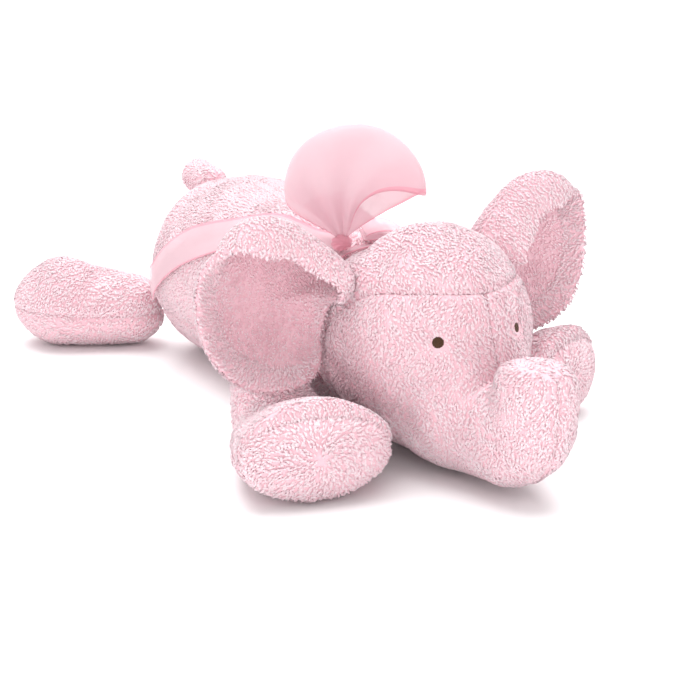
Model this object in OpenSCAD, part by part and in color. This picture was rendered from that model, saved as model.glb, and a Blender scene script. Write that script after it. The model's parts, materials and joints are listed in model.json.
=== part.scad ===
// Stuffed elephant lying on its belly: fleece panels sewn over fillings, and an organza ribbon at the neck.
// Millimetres. +Z is up, the head points to -Y and +X is the elephant's left. The floor is z = 0.

/* [Torso] */
// Distance from the middle of the belly to the neck seam
torso_front = 28; // [26:1:30]
// Distance from the middle of the belly to the end of the rump
torso_back = 177; // [168:1:184]
// Greatest half width of the torso
torso_half_w = 63; // [58:1:64]
// Height of the back above the floor
torso_h = 127; // [120:1:130]

/* [Head] */
// Greatest half width of the head
head_half_w = 60; // [54:1:60]
// Height of the crown above the floor
crown_h = 138; // [130:1:140]
// Half width of the curled trunk
trunk_half_w = 24; // [20:1:27]
// Diameter of an embroidered eye
eye_d = 7.5; // [5:0.5:9]

/* [Ears] */
// Half height of an ear
ear_half_h = 49; // [45:1:50]
// How far the middle of an ear stands out from the middle of the head
ear_middle = 92; // [90:1:96]
// Half width of an ear outside its middle
ear_half_w = 43; // [38:1:44]
// Depth of the cupped hollow in an ear
ear_cup = 15; // [8:1:20]

/* [Legs] */
// Length of a front leg from shoulder to sole
front_leg_len = 124; // [116:1:126]
// Half width of a front paw
front_paw_half_w = 46; // [38:1:47]
// How much shorter the left front leg lies, drawn back under the ear
front_left_drawn_back = 32; // [28:1:38]
// Angle that the right front leg turns outwards
front_splay_right = 16; // [15:1:19]
// Angle that the left front leg turns outwards
front_splay_left = 21; // [20:1:24]
// Length of a hind leg from hip to toe
hind_leg_len = 83; // [70:1:86]
// Half width of a hind foot
hind_foot_half_w = 33; // [28:1:36]
// Angle between a hind leg and straight back
hind_splay = 52; // [46:1:58]

/* [Tail] */
// Length of the stub tail from its root
tail_len = 30; // [26:1:36]
// Half width of the stub tail
tail_half_w = 12; // [9:0.5:13]

/* [Ribbon] */
// Angle of the torso that the ribbon covers as it lies on the back
ribbon_w = 22; // [18:1:26]
// Height of the standing bow loop above the knot
loop_h = 76; // [66:1:80]

/* [Cloth] */
// Thickness of the fleece, backing and pile together
fleece_t = 4; // [3:0.5:5]
// Thickness of the ear lining
lining_t = 2.4; // [1.6:0.2:3]
// Gap left at each sewn seam
seam_gap = 0.3; // [0.2:0.1:0.5]

/* [Hidden] */

fleece_pink = "#F5B8C8";
lining_pink = "#F4A9B8";
filling_white = "#F6F3EE";
thread_brown = "#6B4A2E";
ribbon_pink = "#F8D5E0";

filling_gap = 2.4;
depth_of_filling = fleece_t + filling_gap;

// Ball and dish of the neck
neck_y = -62;
neck_z = 62;
neck_ball_r = 52;
neck_play = 0.6;
dish_r = sqrt(pow(neck_ball_r + neck_play, 2) - pow(neck_y + torso_front, 2));
dish_depth = neck_y + neck_ball_r + neck_play + torso_front;

// Roots that the legs and the tail turn about
shoulder = [68, -28, 27];
hip = [58, 179, 27];
leg_root_r = 24;
tail_root = [2, 173.4, 111.5];
tail_tilt = 4;

// ---- Stuffed forms ----
// A form is [rows, first cap, last cap, share of each cap, floor]. A row is one cross-section of the form:
// [top y, top z, bottom y, bottom z, half width, height of its widest place from 0 at the bottom to 1 at the top].
// A cap is how far the rounded end stands beyond the first or the last row. A negative cap is a dish.

function smooth_row(rows, u) =
    let (n = len(rows) - 1, i = min(floor(u), n - 1), f = u - i,
        p0 = rows[max(i - 1, 0)], p1 = rows[i], p2 = rows[i + 1], p3 = rows[min(i + 2, n)])
    (2 * p1 + (p2 - p0) * f + (2 * p0 - 5 * p1 + 4 * p2 - p3) * f * f + (3 * p1 - p0 - 3 * p2 + p3) * f * f * f) / 2;

// Point of a form, where s runs from 0 at the first pole to 1 at the last, a is the angle round from +X,
// and t is the depth below the surface.
function form_point(form, s, a, t) =
    let (share = form[3], first = s < share, last = s > 1 - share,
        u = first ? 0 : last ? 1 : (s - share) / (1 - 2 * share),
        row = smooth_row(form[0], u * (len(form[0]) - 1)),
        top = [row[0], row[1]], bottom = [row[2], row[3]], height = norm(top - bottom),
        up = (top - bottom) / height, ahead = [-up[1], up[0]],
        centre = bottom + (top - bottom) * row[5],
        q = first ? 90 * s / share : last ? 90 * (1 - s) / share : 90,
        dish = form[2] < 0,
        shift = first ? -(form[1] - t) * cos(q) : last ? (form[2] - (dish ? 0 : t)) * cos(q) : 0,
        pull = dish && !first ? t * max(4 * u - 3, 0) : 0,
        reach = (sin(a) > 0 ? height * (1 - row[5]) : height * row[5]) - t,
        yz = centre + ahead * (shift - pull) + up * reach * sin(a) * sin(q))
    [(row[4] - t) * cos(a) * sin(q), yz[0], max(yz[1], form[4] + t)];

torso = [[
    for (row = [[135, -6, 0.97, 0.95], [100, 0, 1, 1], [55, 0, 1, 1], [20, -2, 0.99, 0.97], [-6, -12, 0.9, 0.9]])
        [row[0], torso_h + row[1], row[0], -3, torso_half_w * row[2], 0.47],
    [-19, 112, -19, 12, 49, 0.49],
    [-torso_front, neck_z + dish_r, -torso_front, neck_z - dish_r, dish_r, 0.5]
    ], torso_back - 135, -dish_depth, 0.2, 0];

// The rows of the trunk fan out about the crease between the face and the curled trunk.
crease = [-169, 70];
crease_r = 3;
function trunk_row(tilt, len, half_w) =
    let (up = [sin(tilt), cos(tilt)], top = crease - up * crease_r, bottom = top - up * len)
    [top[0], top[1], bottom[0], bottom[1], half_w, 0.48];

head = [[
    [neck_y, neck_z + neck_ball_r, neck_y, neck_z - neck_ball_r, neck_ball_r, 0.5],
    [-86, crown_h - 4, -76, 5, head_half_w - 1, 0.52],
    [-112, crown_h - 1, -88, 3, head_half_w, 0.52],
    [-138, crown_h - 12, -98, 3, head_half_w - 4, 0.49],
    [-152, 110, -106, 3, 50, 0.45],
    [-159, 92, -112, 3, 43, 0.43],
    trunk_row(-30, 76, 37),
    trunk_row(-5, 64, trunk_half_w + 6),
    trunk_row(20, 64, trunk_half_w + 3),
    trunk_row(45, 60, trunk_half_w + 1),
    trunk_row(68, 53, trunk_half_w),
    trunk_row(90, 49, trunk_half_w - 1)
    ], neck_ball_r, 14, 0.12, 0];

// A front leg, drawn back by some length, with its own half width of paw
function front_leg(back, half_w) = [[
    [0, leg_root_r, 0, -leg_root_r - 3, leg_root_r, 0.5],
    [0.2 * back - 32, 14, 0.2 * back - 32, -29, 31, 0.5],
    [0.45 * back - 60, 15, 0.45 * back - 60, -29, half_w - 9, 0.48],
    [0.8 * back - 90, 28, 0.8 * back - 90, -29, half_w - 2, 0.48],
    [back + 14 - front_leg_len, 34, back + 14 - front_leg_len, -27, half_w, 0.48]
    ], leg_root_r, 14, 0.22, -shoulder[2]];

hind_leg = [[
    [0, leg_root_r, 0, -leg_root_r - 3, leg_root_r, 0.5],
    [-22, 28, -22, -29, hind_foot_half_w - 5, 0.48],
    [-46, 34, -46, -29, hind_foot_half_w, 0.48]
    ], leg_root_r, hind_leg_len - 46, 0.3, -hip[2]];

tail = [[
    [0, tail_half_w, 0, -tail_half_w, tail_half_w, 0.5],
    [-14, tail_half_w + 0.5, -14, -tail_half_w - 0.5, tail_half_w + 0.5, 0.5],
    [10 - tail_len, tail_half_w + 1, 10 - tail_len, -tail_half_w - 1, tail_half_w + 1, 0.5]
    ], tail_half_w, 10, 0.3, -200];

// ---- Panels and fillings ----
// at(i, j, layer) gives the point at row share i and column share j, on layer 0 (outside) or 1 (inside).

function triangles(a, b, c, d) = [
    for (corners = [[a, b, c], [a, c, d]])
        if (corners[0] != corners[1] && corners[1] != corners[2] && corners[2] != corners[0]) corners];

module sewn(at, rows, cols, start_pole = false, end_pole = false, round = false, solid = false) {
    last_col = round ? cols - 1 : cols;
    first_row = start_pole ? 1 : 0;
    last_row = end_pole ? rows - 1 : rows;
    points = function (layer) [
        if (start_pole) at(0, 0, layer),
        for (i = [first_row:last_row]) for (j = [0:last_col]) at(i / rows, j / cols, layer),
        if (end_pole) at(1, 0, layer)];
    count = first_row + (last_row - first_row + 1) * (last_col + 1) + (end_pole ? 1 : 0);
    index = function (layer, i, j)
        layer * count + (i < first_row ? 0 : i > last_row ? count - 1
            : first_row + (i - first_row) * (last_col + 1) + (round ? j % cols : j));
    outside = [for (i = [0:rows - 1]) for (j = [0:cols - 1])
        each triangles(index(0, i, j), index(0, i + 1, j), index(0, i + 1, j + 1), index(0, i, j + 1))];
    inside = [for (i = [0:rows - 1]) for (j = [0:cols - 1])
        each triangles(index(1, i, j), index(1, i, j + 1), index(1, i + 1, j + 1), index(1, i + 1, j))];
    sides = [if (!round) for (i = [0:rows - 1])
        each concat(
            triangles(index(0, i + 1, 0), index(0, i, 0), index(1, i, 0), index(1, i + 1, 0)),
            triangles(index(0, i, cols), index(0, i + 1, cols), index(1, i + 1, cols), index(1, i, cols)))];
    ends = [for (j = [0:cols - 1])
        each concat(
            start_pole ? [] : triangles(index(0, 0, j), index(0, 0, j + 1), index(1, 0, j + 1), index(1, 0, j)),
            end_pole ? []
                : triangles(index(0, rows, j + 1), index(0, rows, j), index(1, rows, j), index(1, rows, j + 1)))];
    if (solid)
        polyhedron(points(0), outside);
    else
        polyhedron(concat(points(0), points(1)), concat(outside, inside, sides, ends));
}

// Filling of a whole form, flat where it would stand in front of a given y
module filling(form, rows, cols, front = -1000) {
    color(filling_white)
        sewn(function (i, j, layer)
                let (p = form_point(form, i, 360 * j, depth_of_filling))
                [p[0], max(p[1], front), p[2]],
            rows, cols, start_pole = true, end_pole = true, round = true, solid = true);
}

// Panel of a form over a span of s and of a
module panel(form, s, a, rows, cols, round = false) {
    trim = round ? 0 : seam_gap / 2;
    color(fleece_pink)
        sewn(function (i, j, layer)
                let (angle = a[0] + trim + (a[1] - a[0] - 2 * trim) * j)
                form_point(form, s[0] + (s[1] - s[0]) * i, angle, layer * fleece_t),
            rows, cols, start_pole = s[0] == 0, end_pole = s[1] == 1, round = round);
}

module torso_back_panel() { panel(torso, [0, 1], [-24, 204], 20, 18); }
module torso_belly_panel() { panel(torso, [0, 1], [204, 336], 20, 12); }
module torso_filling() { filling(torso, 18, 22, front = -4); }

// Share of the head at which the crown seam lies: far forward over the brow, and at the ears lower down
function crown_seam(a) = 0.13 + 0.265 * max(sin(a), 0);

module head_crown_panel() {
    color(fleece_pink)
        sewn(function (i, j, layer) form_point(head, i * (crown_seam(360 * j) - 0.002), 360 * j, layer * fleece_t),
            12, 24, start_pole = true, round = true);
}

module head_face_right() {
    color(fleece_pink)
        sewn(function (i, j, layer)
                let (a = 90.3 + 179.4 * j, seam = crown_seam(a) + 0.002)
                form_point(head, seam + (1 - seam) * i, a, layer * fleece_t),
            24, 12, end_pole = true);
}
module head_face_left() { mirror([1, 0, 0]) head_face_right(); }
module head_filling() { filling(head, 30, 20); }

// Embroidered eye: a low dome that stands on the face
module eye(eye_s, eye_a) {
    middle = form_point(head, eye_s, eye_a, 0);
    across = form_point(head, eye_s, eye_a + 4, 0) - form_point(head, eye_s, eye_a - 4, 0);
    along = form_point(head, eye_s + 0.01, eye_a, 0) - form_point(head, eye_s - 0.01, eye_a, 0);
    x_axis = across / norm(across);
    z_axis = cross(across, along) / norm(cross(across, along));
    y_axis = cross(z_axis, x_axis);
    at = function (i, j, layer)
        middle + (x_axis * cos(360 * j) - y_axis * sin(360 * j)) * eye_d / 2 * sin(90 * i)
            + z_axis * (layer == 0 ? 0.6 + 1.4 * cos(90 * i) : 0.6);
    color(thread_brown)
        sewn(at, 3, 12, start_pole = true, round = true);
}
module eye_left() { eye(0.46, 60); }
module eye_right() { mirror([1, 0, 0]) eye(0.44, 47); }

// ---- Ears ----
ear_y = -69;
ear_z = 96;
ear_root_gap = 2.2;
ear_fold = 9;
function ear_root_x(z) =
    ear_root_gap + head_half_w * sqrt(1 - pow((z - 70) / 68, 2));
// A lean brings the lower edge of the ear forwards.
function ear_point(s, a, t, lean) =
    let (z = ear_z + ear_half_h * sin(a), x = ear_middle + (cos(a) > 0 ? ear_half_w : 60) * cos(a),
        edge_x = max(x, ear_root_x(min(z, 101)), z - 64), lift = max(sin(a), 0), drop = max(-sin(a), 0))
    [ear_middle + (edge_x - ear_middle) * s,
        ear_y + ear_cup * (1 - s * s) - ear_fold * pow(s * lift, 4) - lean * pow(s * drop, 2) - t,
        ear_z + (z - ear_z) * s];
module ear_layer(from, to, lean, tint) {
    color(tint)
        sewn(function (i, j, layer) ear_point(i, 360 * j, layer == 0 ? from : to, lean),
            7, 28, start_pole = true, round = true);
}
lining_depth = fleece_t + seam_gap;
ear_right_lean = 12;
ear_left_rise = 4;
module ear_outer(lean) { ear_layer(0, fleece_t, lean, fleece_pink); }
module ear_lining(lean) { ear_layer(lining_depth, lining_depth + lining_t, lean, lining_pink); }
module ear_left_outer() { translate([0, 0, ear_left_rise]) ear_outer(0); }
module ear_left_lining() { translate([0, 0, ear_left_rise]) ear_lining(0); }
module ear_right_outer() { mirror([1, 0, 0]) ear_outer(ear_right_lean); }
module ear_right_lining() { mirror([1, 0, 0]) ear_lining(ear_right_lean); }

// ---- Legs ----
sole_s = 0.8;
module at_shoulder(splay) { translate(shoulder) rotate([0, 0, splay]) children(); }
module at_hip() { translate(hip) rotate([0, 0, 180 - hind_splay]) children(); }

right_leg = front_leg(0, front_paw_half_w);
left_leg = front_leg(front_left_drawn_back, front_paw_half_w - 6);
module front_leg_upper(leg) { panel(leg, [0, sole_s - 0.004], [0, 180], 12, 8); }
module front_leg_under(leg) { panel(leg, [0, sole_s - 0.004], [180, 360], 12, 8); }
module front_leg_sole(leg) { panel(leg, [sole_s, 1], [0, 360], 4, 20, round = true); }
module on_left() { at_shoulder(front_splay_left) children(); }
module on_right() { mirror([1, 0, 0]) at_shoulder(front_splay_right) children(); }
module front_leg_left_upper() { on_left() front_leg_upper(left_leg); }
module front_leg_left_under() { on_left() front_leg_under(left_leg); }
module front_leg_left_sole() { on_left() front_leg_sole(left_leg); }
module front_leg_left_filling() { on_left() filling(left_leg, 14, 14); }
module front_leg_right_upper() { on_right() front_leg_upper(right_leg); }
module front_leg_right_under() { on_right() front_leg_under(right_leg); }
module front_leg_right_sole() { on_right() front_leg_sole(right_leg); }
module front_leg_right_filling() { on_right() filling(right_leg, 14, 14); }

module hind_leg_left_upper() { at_hip() panel(hind_leg, [0, 1], [0, 180], 14, 9); }
module hind_leg_left_under() { at_hip() panel(hind_leg, [0, 1], [180, 360], 14, 9); }
module hind_leg_left_filling() { at_hip() filling(hind_leg, 12, 14); }
module hind_leg_right_upper() { mirror([1, 0, 0]) hind_leg_left_upper(); }
module hind_leg_right_under() { mirror([1, 0, 0]) hind_leg_left_under(); }
module hind_leg_right_filling() { mirror([1, 0, 0]) hind_leg_left_filling(); }

module at_tail() { translate(tail_root) rotate([tail_tilt, 0, 180]) children(); }
module tail_skin() { at_tail() panel(tail, [0.06, 1], [0, 360], 10, 14, round = true); }
module tail_filling() { at_tail() filling(tail, 8, 10); }

// ---- Ribbon ----
band_r = 44;
band_y = -29;
band_w = 7;
band_t = 1.6;
knot_r = 5;
knot_a = 108;
knot_reach = band_r + band_t + 1.3 * knot_r + 0.1;
knot = [knot_reach * cos(knot_a), band_y, neck_z + knot_reach * sin(knot_a)];

module ribbon_band() {
    color(ribbon_pink)
        sewn(function (i, j, layer)
                let (r = band_r + band_t * (1 - layer))
                [r * cos(360 * j), band_y + band_w * (0.5 - i), neck_z + r * sin(360 * j)],
            2, 40, round = true);
}
module ribbon_knot() {
    color(ribbon_pink)
        translate(knot)
            sewn(function (i, j, layer)
                    [1.3 * knot_r * sin(180 * i) * cos(360 * j), knot_r * cos(180 * i),
                        knot_r * sin(180 * i) * sin(360 * j)],
                8, 12, start_pole = true, end_pole = true, round = true, solid = true);
}

// The standing loop leaves the knot gathered, fans out, bends over and comes back to the knot.
ribbon_t = 1;
loop_fan = [-40, 54];
loop_depth = 10;
loop_turn = -32;
loop_start = acos(1 - 18 / (loop_h - 14));
module ribbon_loop_standing() {
    color(ribbon_pink)
        translate(knot)
            rotate([0, 0, loop_turn])
                sewn(function (i, j, layer)
                        let (path = loop_start + (360 - 2 * loop_start) * i,
                            spread = loop_fan[0] + (loop_fan[1] - loop_fan[0]) * j,
                            r = (loop_h - 14 + 14 * sin(180 * j) - layer * ribbon_t) * (1 - cos(path)) / 2,
                            d = (loop_depth * min(1, r / 30) - layer * ribbon_t / 2) * sin(path))
                        [r * sin(spread), -d, r * cos(spread)],
                    16, 10);
}

// The other loop lies flat over the left shoulder.
lying_lift = 6.6;
lying_depth = 4;
module ribbon_loop_lying() {
    color(ribbon_pink)
        sewn(function (i, j, layer)
                let (path = 30 + 300 * i, r = (1 - cos(path)) / 2 - 0.02 * layer,
                    lift = lying_lift + (lying_depth - ribbon_t * layer) * sin(path))
                form_point(torso, 0.74 - 0.1 * r + (j - 0.5) * (0.04 + 0.1 * r), 92 - 60 * r, -lift),
            16, 6);
}

// A ribbon tail lies on the torso, a little clear of it.
tail_lift = 0.8;
module ribbon_tail(s, a, width) {
    color(ribbon_pink)
        sewn(function (i, j, layer)
                let (along = s[0] + (s[1] - s[0]) * i, middle = a[0] + (a[1] - a[0]) * i * i)
                form_point(torso, along, middle + (0.5 - j) * width, -tail_lift - ribbon_t * (1 - layer)),
            16, 4);
}
module ribbon_tail_right() { ribbon_tail([0.735, 0.19], [111, 182], ribbon_w); }
module ribbon_tail_left() { ribbon_tail([0.735, 0.5], [72, 30], ribbon_w); }

torso_back_panel();
torso_belly_panel();
torso_filling();
head_crown_panel();
head_face_right();
head_face_left();
head_filling();
eye_right();
eye_left();
ear_right_outer();
ear_right_lining();
ear_left_outer();
ear_left_lining();
front_leg_right_upper();
front_leg_right_under();
front_leg_right_sole();
front_leg_right_filling();
front_leg_left_upper();
front_leg_left_under();
front_leg_left_sole();
front_leg_left_filling();
hind_leg_right_upper();
hind_leg_right_under();
hind_leg_right_filling();
hind_leg_left_upper();
hind_leg_left_under();
hind_leg_left_filling();
tail_skin();
tail_filling();
ribbon_band();
ribbon_knot();
ribbon_loop_standing();
ribbon_loop_lying();
ribbon_tail_right();
ribbon_tail_left();
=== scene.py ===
"""Plush elephant lying on its belly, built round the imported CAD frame.

Lengths inside this script are millimetres until a mesh is made, and Blender gets metres.
+Z is up, the head points to -Y and +X is the elephant's left.
"""

import json
import logging
import math
from collections.abc import Callable, Sequence
from dataclasses import dataclass, field
from enum import Enum
from pathlib import Path

import bpy
import numpy as np
from mathutils import Vector
from mathutils.bvhtree import BVHTree
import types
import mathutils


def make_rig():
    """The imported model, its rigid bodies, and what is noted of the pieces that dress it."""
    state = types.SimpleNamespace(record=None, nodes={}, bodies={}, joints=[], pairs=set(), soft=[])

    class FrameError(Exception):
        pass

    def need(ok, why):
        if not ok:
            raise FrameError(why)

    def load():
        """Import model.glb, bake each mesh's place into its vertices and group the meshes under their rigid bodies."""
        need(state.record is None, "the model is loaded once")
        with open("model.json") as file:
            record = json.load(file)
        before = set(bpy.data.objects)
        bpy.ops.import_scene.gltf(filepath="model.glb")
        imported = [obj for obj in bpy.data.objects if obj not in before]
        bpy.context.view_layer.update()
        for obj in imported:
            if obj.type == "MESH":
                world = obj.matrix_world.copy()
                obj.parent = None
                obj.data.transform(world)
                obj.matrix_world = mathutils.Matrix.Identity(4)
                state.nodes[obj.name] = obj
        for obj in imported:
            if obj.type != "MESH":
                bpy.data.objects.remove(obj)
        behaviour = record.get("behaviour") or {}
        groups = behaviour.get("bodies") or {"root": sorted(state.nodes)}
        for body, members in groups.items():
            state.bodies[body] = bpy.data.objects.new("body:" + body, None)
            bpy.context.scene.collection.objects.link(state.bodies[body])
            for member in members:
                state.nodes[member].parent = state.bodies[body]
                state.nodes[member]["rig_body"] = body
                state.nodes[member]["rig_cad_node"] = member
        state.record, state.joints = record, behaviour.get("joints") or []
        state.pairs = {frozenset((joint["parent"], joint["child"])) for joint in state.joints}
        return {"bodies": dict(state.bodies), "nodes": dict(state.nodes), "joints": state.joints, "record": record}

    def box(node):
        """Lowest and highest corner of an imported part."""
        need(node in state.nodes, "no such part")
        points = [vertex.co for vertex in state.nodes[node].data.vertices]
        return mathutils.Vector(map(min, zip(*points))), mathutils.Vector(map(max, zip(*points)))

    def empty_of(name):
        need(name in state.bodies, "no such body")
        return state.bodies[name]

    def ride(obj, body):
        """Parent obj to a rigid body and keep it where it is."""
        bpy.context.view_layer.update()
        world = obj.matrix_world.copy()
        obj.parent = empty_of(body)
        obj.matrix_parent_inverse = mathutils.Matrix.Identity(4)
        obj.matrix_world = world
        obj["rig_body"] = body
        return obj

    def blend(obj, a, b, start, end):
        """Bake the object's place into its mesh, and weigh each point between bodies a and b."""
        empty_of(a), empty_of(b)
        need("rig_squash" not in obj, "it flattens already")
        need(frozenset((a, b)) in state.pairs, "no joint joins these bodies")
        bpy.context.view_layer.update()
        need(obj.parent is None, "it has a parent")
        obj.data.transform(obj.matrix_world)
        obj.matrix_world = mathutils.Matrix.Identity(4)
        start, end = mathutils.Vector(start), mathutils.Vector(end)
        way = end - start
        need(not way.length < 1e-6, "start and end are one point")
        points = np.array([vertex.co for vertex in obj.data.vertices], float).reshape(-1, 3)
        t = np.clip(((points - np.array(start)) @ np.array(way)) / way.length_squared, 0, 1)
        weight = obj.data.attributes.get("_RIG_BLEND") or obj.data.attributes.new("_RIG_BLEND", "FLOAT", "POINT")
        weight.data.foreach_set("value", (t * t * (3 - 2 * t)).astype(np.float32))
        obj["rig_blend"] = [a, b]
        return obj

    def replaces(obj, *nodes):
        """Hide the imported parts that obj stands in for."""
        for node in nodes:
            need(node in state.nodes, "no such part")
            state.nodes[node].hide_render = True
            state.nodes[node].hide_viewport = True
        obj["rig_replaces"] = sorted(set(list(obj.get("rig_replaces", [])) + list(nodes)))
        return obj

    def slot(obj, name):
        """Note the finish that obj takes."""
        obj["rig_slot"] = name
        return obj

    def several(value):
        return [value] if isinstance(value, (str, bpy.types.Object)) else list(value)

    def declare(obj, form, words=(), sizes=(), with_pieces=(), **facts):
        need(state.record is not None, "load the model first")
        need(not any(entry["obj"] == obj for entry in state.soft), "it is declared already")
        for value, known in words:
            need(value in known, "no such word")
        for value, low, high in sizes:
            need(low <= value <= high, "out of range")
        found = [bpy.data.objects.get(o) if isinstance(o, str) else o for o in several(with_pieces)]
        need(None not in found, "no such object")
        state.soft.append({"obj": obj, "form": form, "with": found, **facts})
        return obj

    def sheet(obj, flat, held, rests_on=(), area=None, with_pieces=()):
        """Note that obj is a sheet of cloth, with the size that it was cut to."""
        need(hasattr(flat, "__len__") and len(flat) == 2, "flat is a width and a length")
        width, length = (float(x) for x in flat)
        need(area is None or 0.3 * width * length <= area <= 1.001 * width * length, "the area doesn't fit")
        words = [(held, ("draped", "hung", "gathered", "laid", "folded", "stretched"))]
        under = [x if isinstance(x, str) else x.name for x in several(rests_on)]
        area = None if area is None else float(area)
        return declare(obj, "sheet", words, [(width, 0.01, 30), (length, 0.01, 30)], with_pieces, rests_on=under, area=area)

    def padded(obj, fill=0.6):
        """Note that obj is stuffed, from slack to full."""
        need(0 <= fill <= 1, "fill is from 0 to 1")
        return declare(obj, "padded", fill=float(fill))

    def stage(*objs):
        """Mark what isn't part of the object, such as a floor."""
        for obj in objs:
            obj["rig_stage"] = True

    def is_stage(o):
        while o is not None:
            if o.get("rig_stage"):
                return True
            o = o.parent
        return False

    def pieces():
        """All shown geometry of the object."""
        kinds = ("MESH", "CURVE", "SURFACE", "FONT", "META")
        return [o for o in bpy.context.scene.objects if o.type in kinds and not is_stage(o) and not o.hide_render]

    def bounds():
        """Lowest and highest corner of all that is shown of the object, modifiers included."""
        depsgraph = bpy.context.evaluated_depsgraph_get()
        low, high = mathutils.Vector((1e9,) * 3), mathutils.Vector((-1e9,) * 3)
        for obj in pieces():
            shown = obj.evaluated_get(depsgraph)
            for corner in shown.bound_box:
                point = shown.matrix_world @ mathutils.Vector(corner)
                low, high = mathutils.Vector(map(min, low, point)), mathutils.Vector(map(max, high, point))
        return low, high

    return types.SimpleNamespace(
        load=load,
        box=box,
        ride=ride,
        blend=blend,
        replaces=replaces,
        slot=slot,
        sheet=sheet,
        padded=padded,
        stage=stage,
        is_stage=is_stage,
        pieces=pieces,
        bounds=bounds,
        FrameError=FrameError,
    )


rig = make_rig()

LOG = logging.getLogger("elephant")
MM = 0.001
SIZE_FILE = Path("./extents.json")

Array = np.ndarray
Surface = Callable[[Array, Array], Array]


class Colour(Enum):
    """Colours of the cloths and threads, as sRGB hex."""

    # Painted shade: the backing colour below is a deeper pink for the shade between the tufts, and the deep pink also
    # colours the tuft roots as shade. Otherwise the deep, mid and light pinks are tones that fall at random.
    FLEECE_ROOT = "#F9C2CE"
    FLEECE_DEEP = "#FBD8E0"
    FLEECE_MID = "#FCE2E9"
    FLEECE_LIGHT = "#FDEAEF"
    # The lining pinks are partly the cloth's own colour and partly painted shade in the hollow of the ear, and the
    # deep one also colours the lining tuft roots as shade.
    LINING_DEEP = "#FCCCD7"
    LINING_MID = "#FDDAE2"
    LINING_LIGHT = "#FEE6EC"
    ORGANZA = "#F6D6DE"
    ORGANZA_EDGE = "#F6B2C1"
    THREAD = "#5E4028"
    THREAD_DARK = "#3A2615"
    FILLING = "#F6F3EE"
    FLOOR = "#FFFFFF"

    def linear(self) -> tuple[float, float, float, float]:
        """Turns the hex colour into linear light.

        Returns:
            Red, green, blue and an alpha of 1.
        """
        parts = [int(self.value[k : k + 2], 16) / 255 for k in (1, 3, 5)]
        lin = [c / 12.92 if c <= 0.04045 else ((c + 0.055) / 1.055) ** 2.4 for c in parts]
        return (lin[0], lin[1], lin[2], 1.0)


class Body(Enum):
    """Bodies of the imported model."""

    TORSO = "torso"
    HEAD = "head"
    TAIL = "tail"


class Side(Enum):
    """Side of the elephant, with the sign of its x."""

    RIGHT = -1
    LEFT = 1

    @property
    def word(self) -> str:
        """Name of the side as it stands in node names."""
        return self.name.lower()


# ---- Materials ----


def add_node(tree: bpy.types.NodeTree, kind: str, **inputs: object) -> bpy.types.Node:
    """Adds a node and sets or links its inputs.

    Args:
        tree: Node tree of a material.
        kind: Blender's name of the node type.
        inputs: Values or output sockets by input name, with "_" for a space. Other names are properties.

    Returns:
        The new node.
    """
    node = tree.nodes.new(kind)
    for key, value in inputs.items():
        socket = node.inputs.get(key.replace("_", " "))
        if socket is None:
            setattr(node, key, value)
        elif isinstance(value, bpy.types.NodeSocket):
            tree.links.new(value, socket)
        else:
            socket.default_value = value
    return node


@dataclass(frozen=True)
class Finish:
    """A constant finish: one colour on a soft cloth shader."""

    name: str
    colour: Colour
    roughness: float = 0.85
    sheen: float = 0.35
    alpha: float = 1.0

    def shader(self) -> tuple[bpy.types.Material, bpy.types.Node]:
        """Makes the material with its shader.

        Returns:
            The material and its Principled node.
        """
        mat = bpy.data.materials.new(self.name)
        mat.use_nodes = True
        mat.diffuse_color = self.colour.linear()
        shader = mat.node_tree.nodes["Principled BSDF"]
        shader.inputs["Base Color"].default_value = self.colour.linear()
        shader.inputs["Roughness"].default_value = self.roughness
        shader.inputs["Sheen Weight"].default_value = self.sheen
        shader.inputs["Sheen Roughness"].default_value = 0.6
        shader.inputs["Sheen Tint"].default_value = Colour.FLEECE_LIGHT.linear()
        shader.inputs["Specular IOR Level"].default_value = 0.2
        shader.inputs["Alpha"].default_value = self.alpha
        return mat, shader

    def material(self) -> bpy.types.Material:
        """Makes the material, or returns the one already made under this name.

        Returns:
            The material.
        """
        found = bpy.data.materials.get(self.name)
        if found is not None:
            return found
        mat, shader = self.shader()
        self.detail(mat.node_tree, shader)
        return mat

    def detail(self, tree: bpy.types.NodeTree, shader: bpy.types.Node) -> None:
        """Adds nothing on a constant finish.

        Args:
            tree: Node tree of the material.
            shader: Its Principled node.
        """


@dataclass(frozen=True)
class Mottled(Finish):
    """A cloth whose colour drifts between two shades, with a fine bump, both on object coordinates."""

    other: Colour = Colour.FLEECE_DEEP
    patch_mm: float = 3.0
    grain_mm: float = 0.5
    bump_mm: float = 0.4

    def detail(self, tree: bpy.types.NodeTree, shader: bpy.types.Node) -> None:
        """Adds the drift of colour and the grain.

        Args:
            tree: Node tree of the material.
            shader: Its Principled node.
        """
        place = add_node(tree, "ShaderNodeTexCoord").outputs["Object"]
        patch = add_node(tree, "ShaderNodeTexNoise", Vector=place, Scale=1 / (self.patch_mm * MM), Detail=3.0)
        mix = add_node(tree, "ShaderNodeMix", data_type="RGBA")
        tree.links.new(patch.outputs["Fac"], mix.inputs["Factor"])
        mix.inputs[6].default_value = self.colour.linear()
        mix.inputs[7].default_value = self.other.linear()
        tree.links.new(mix.outputs[2], shader.inputs["Base Color"])
        grain = add_node(tree, "ShaderNodeTexNoise", Vector=place, Scale=1 / (self.grain_mm * MM), Detail=2.0)
        bump = add_node(
            tree, "ShaderNodeBump", Height=grain.outputs["Fac"], Strength=0.8, Distance=self.bump_mm * MM
        )
        tree.links.new(bump.outputs["Normal"], shader.inputs["Normal"])


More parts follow.
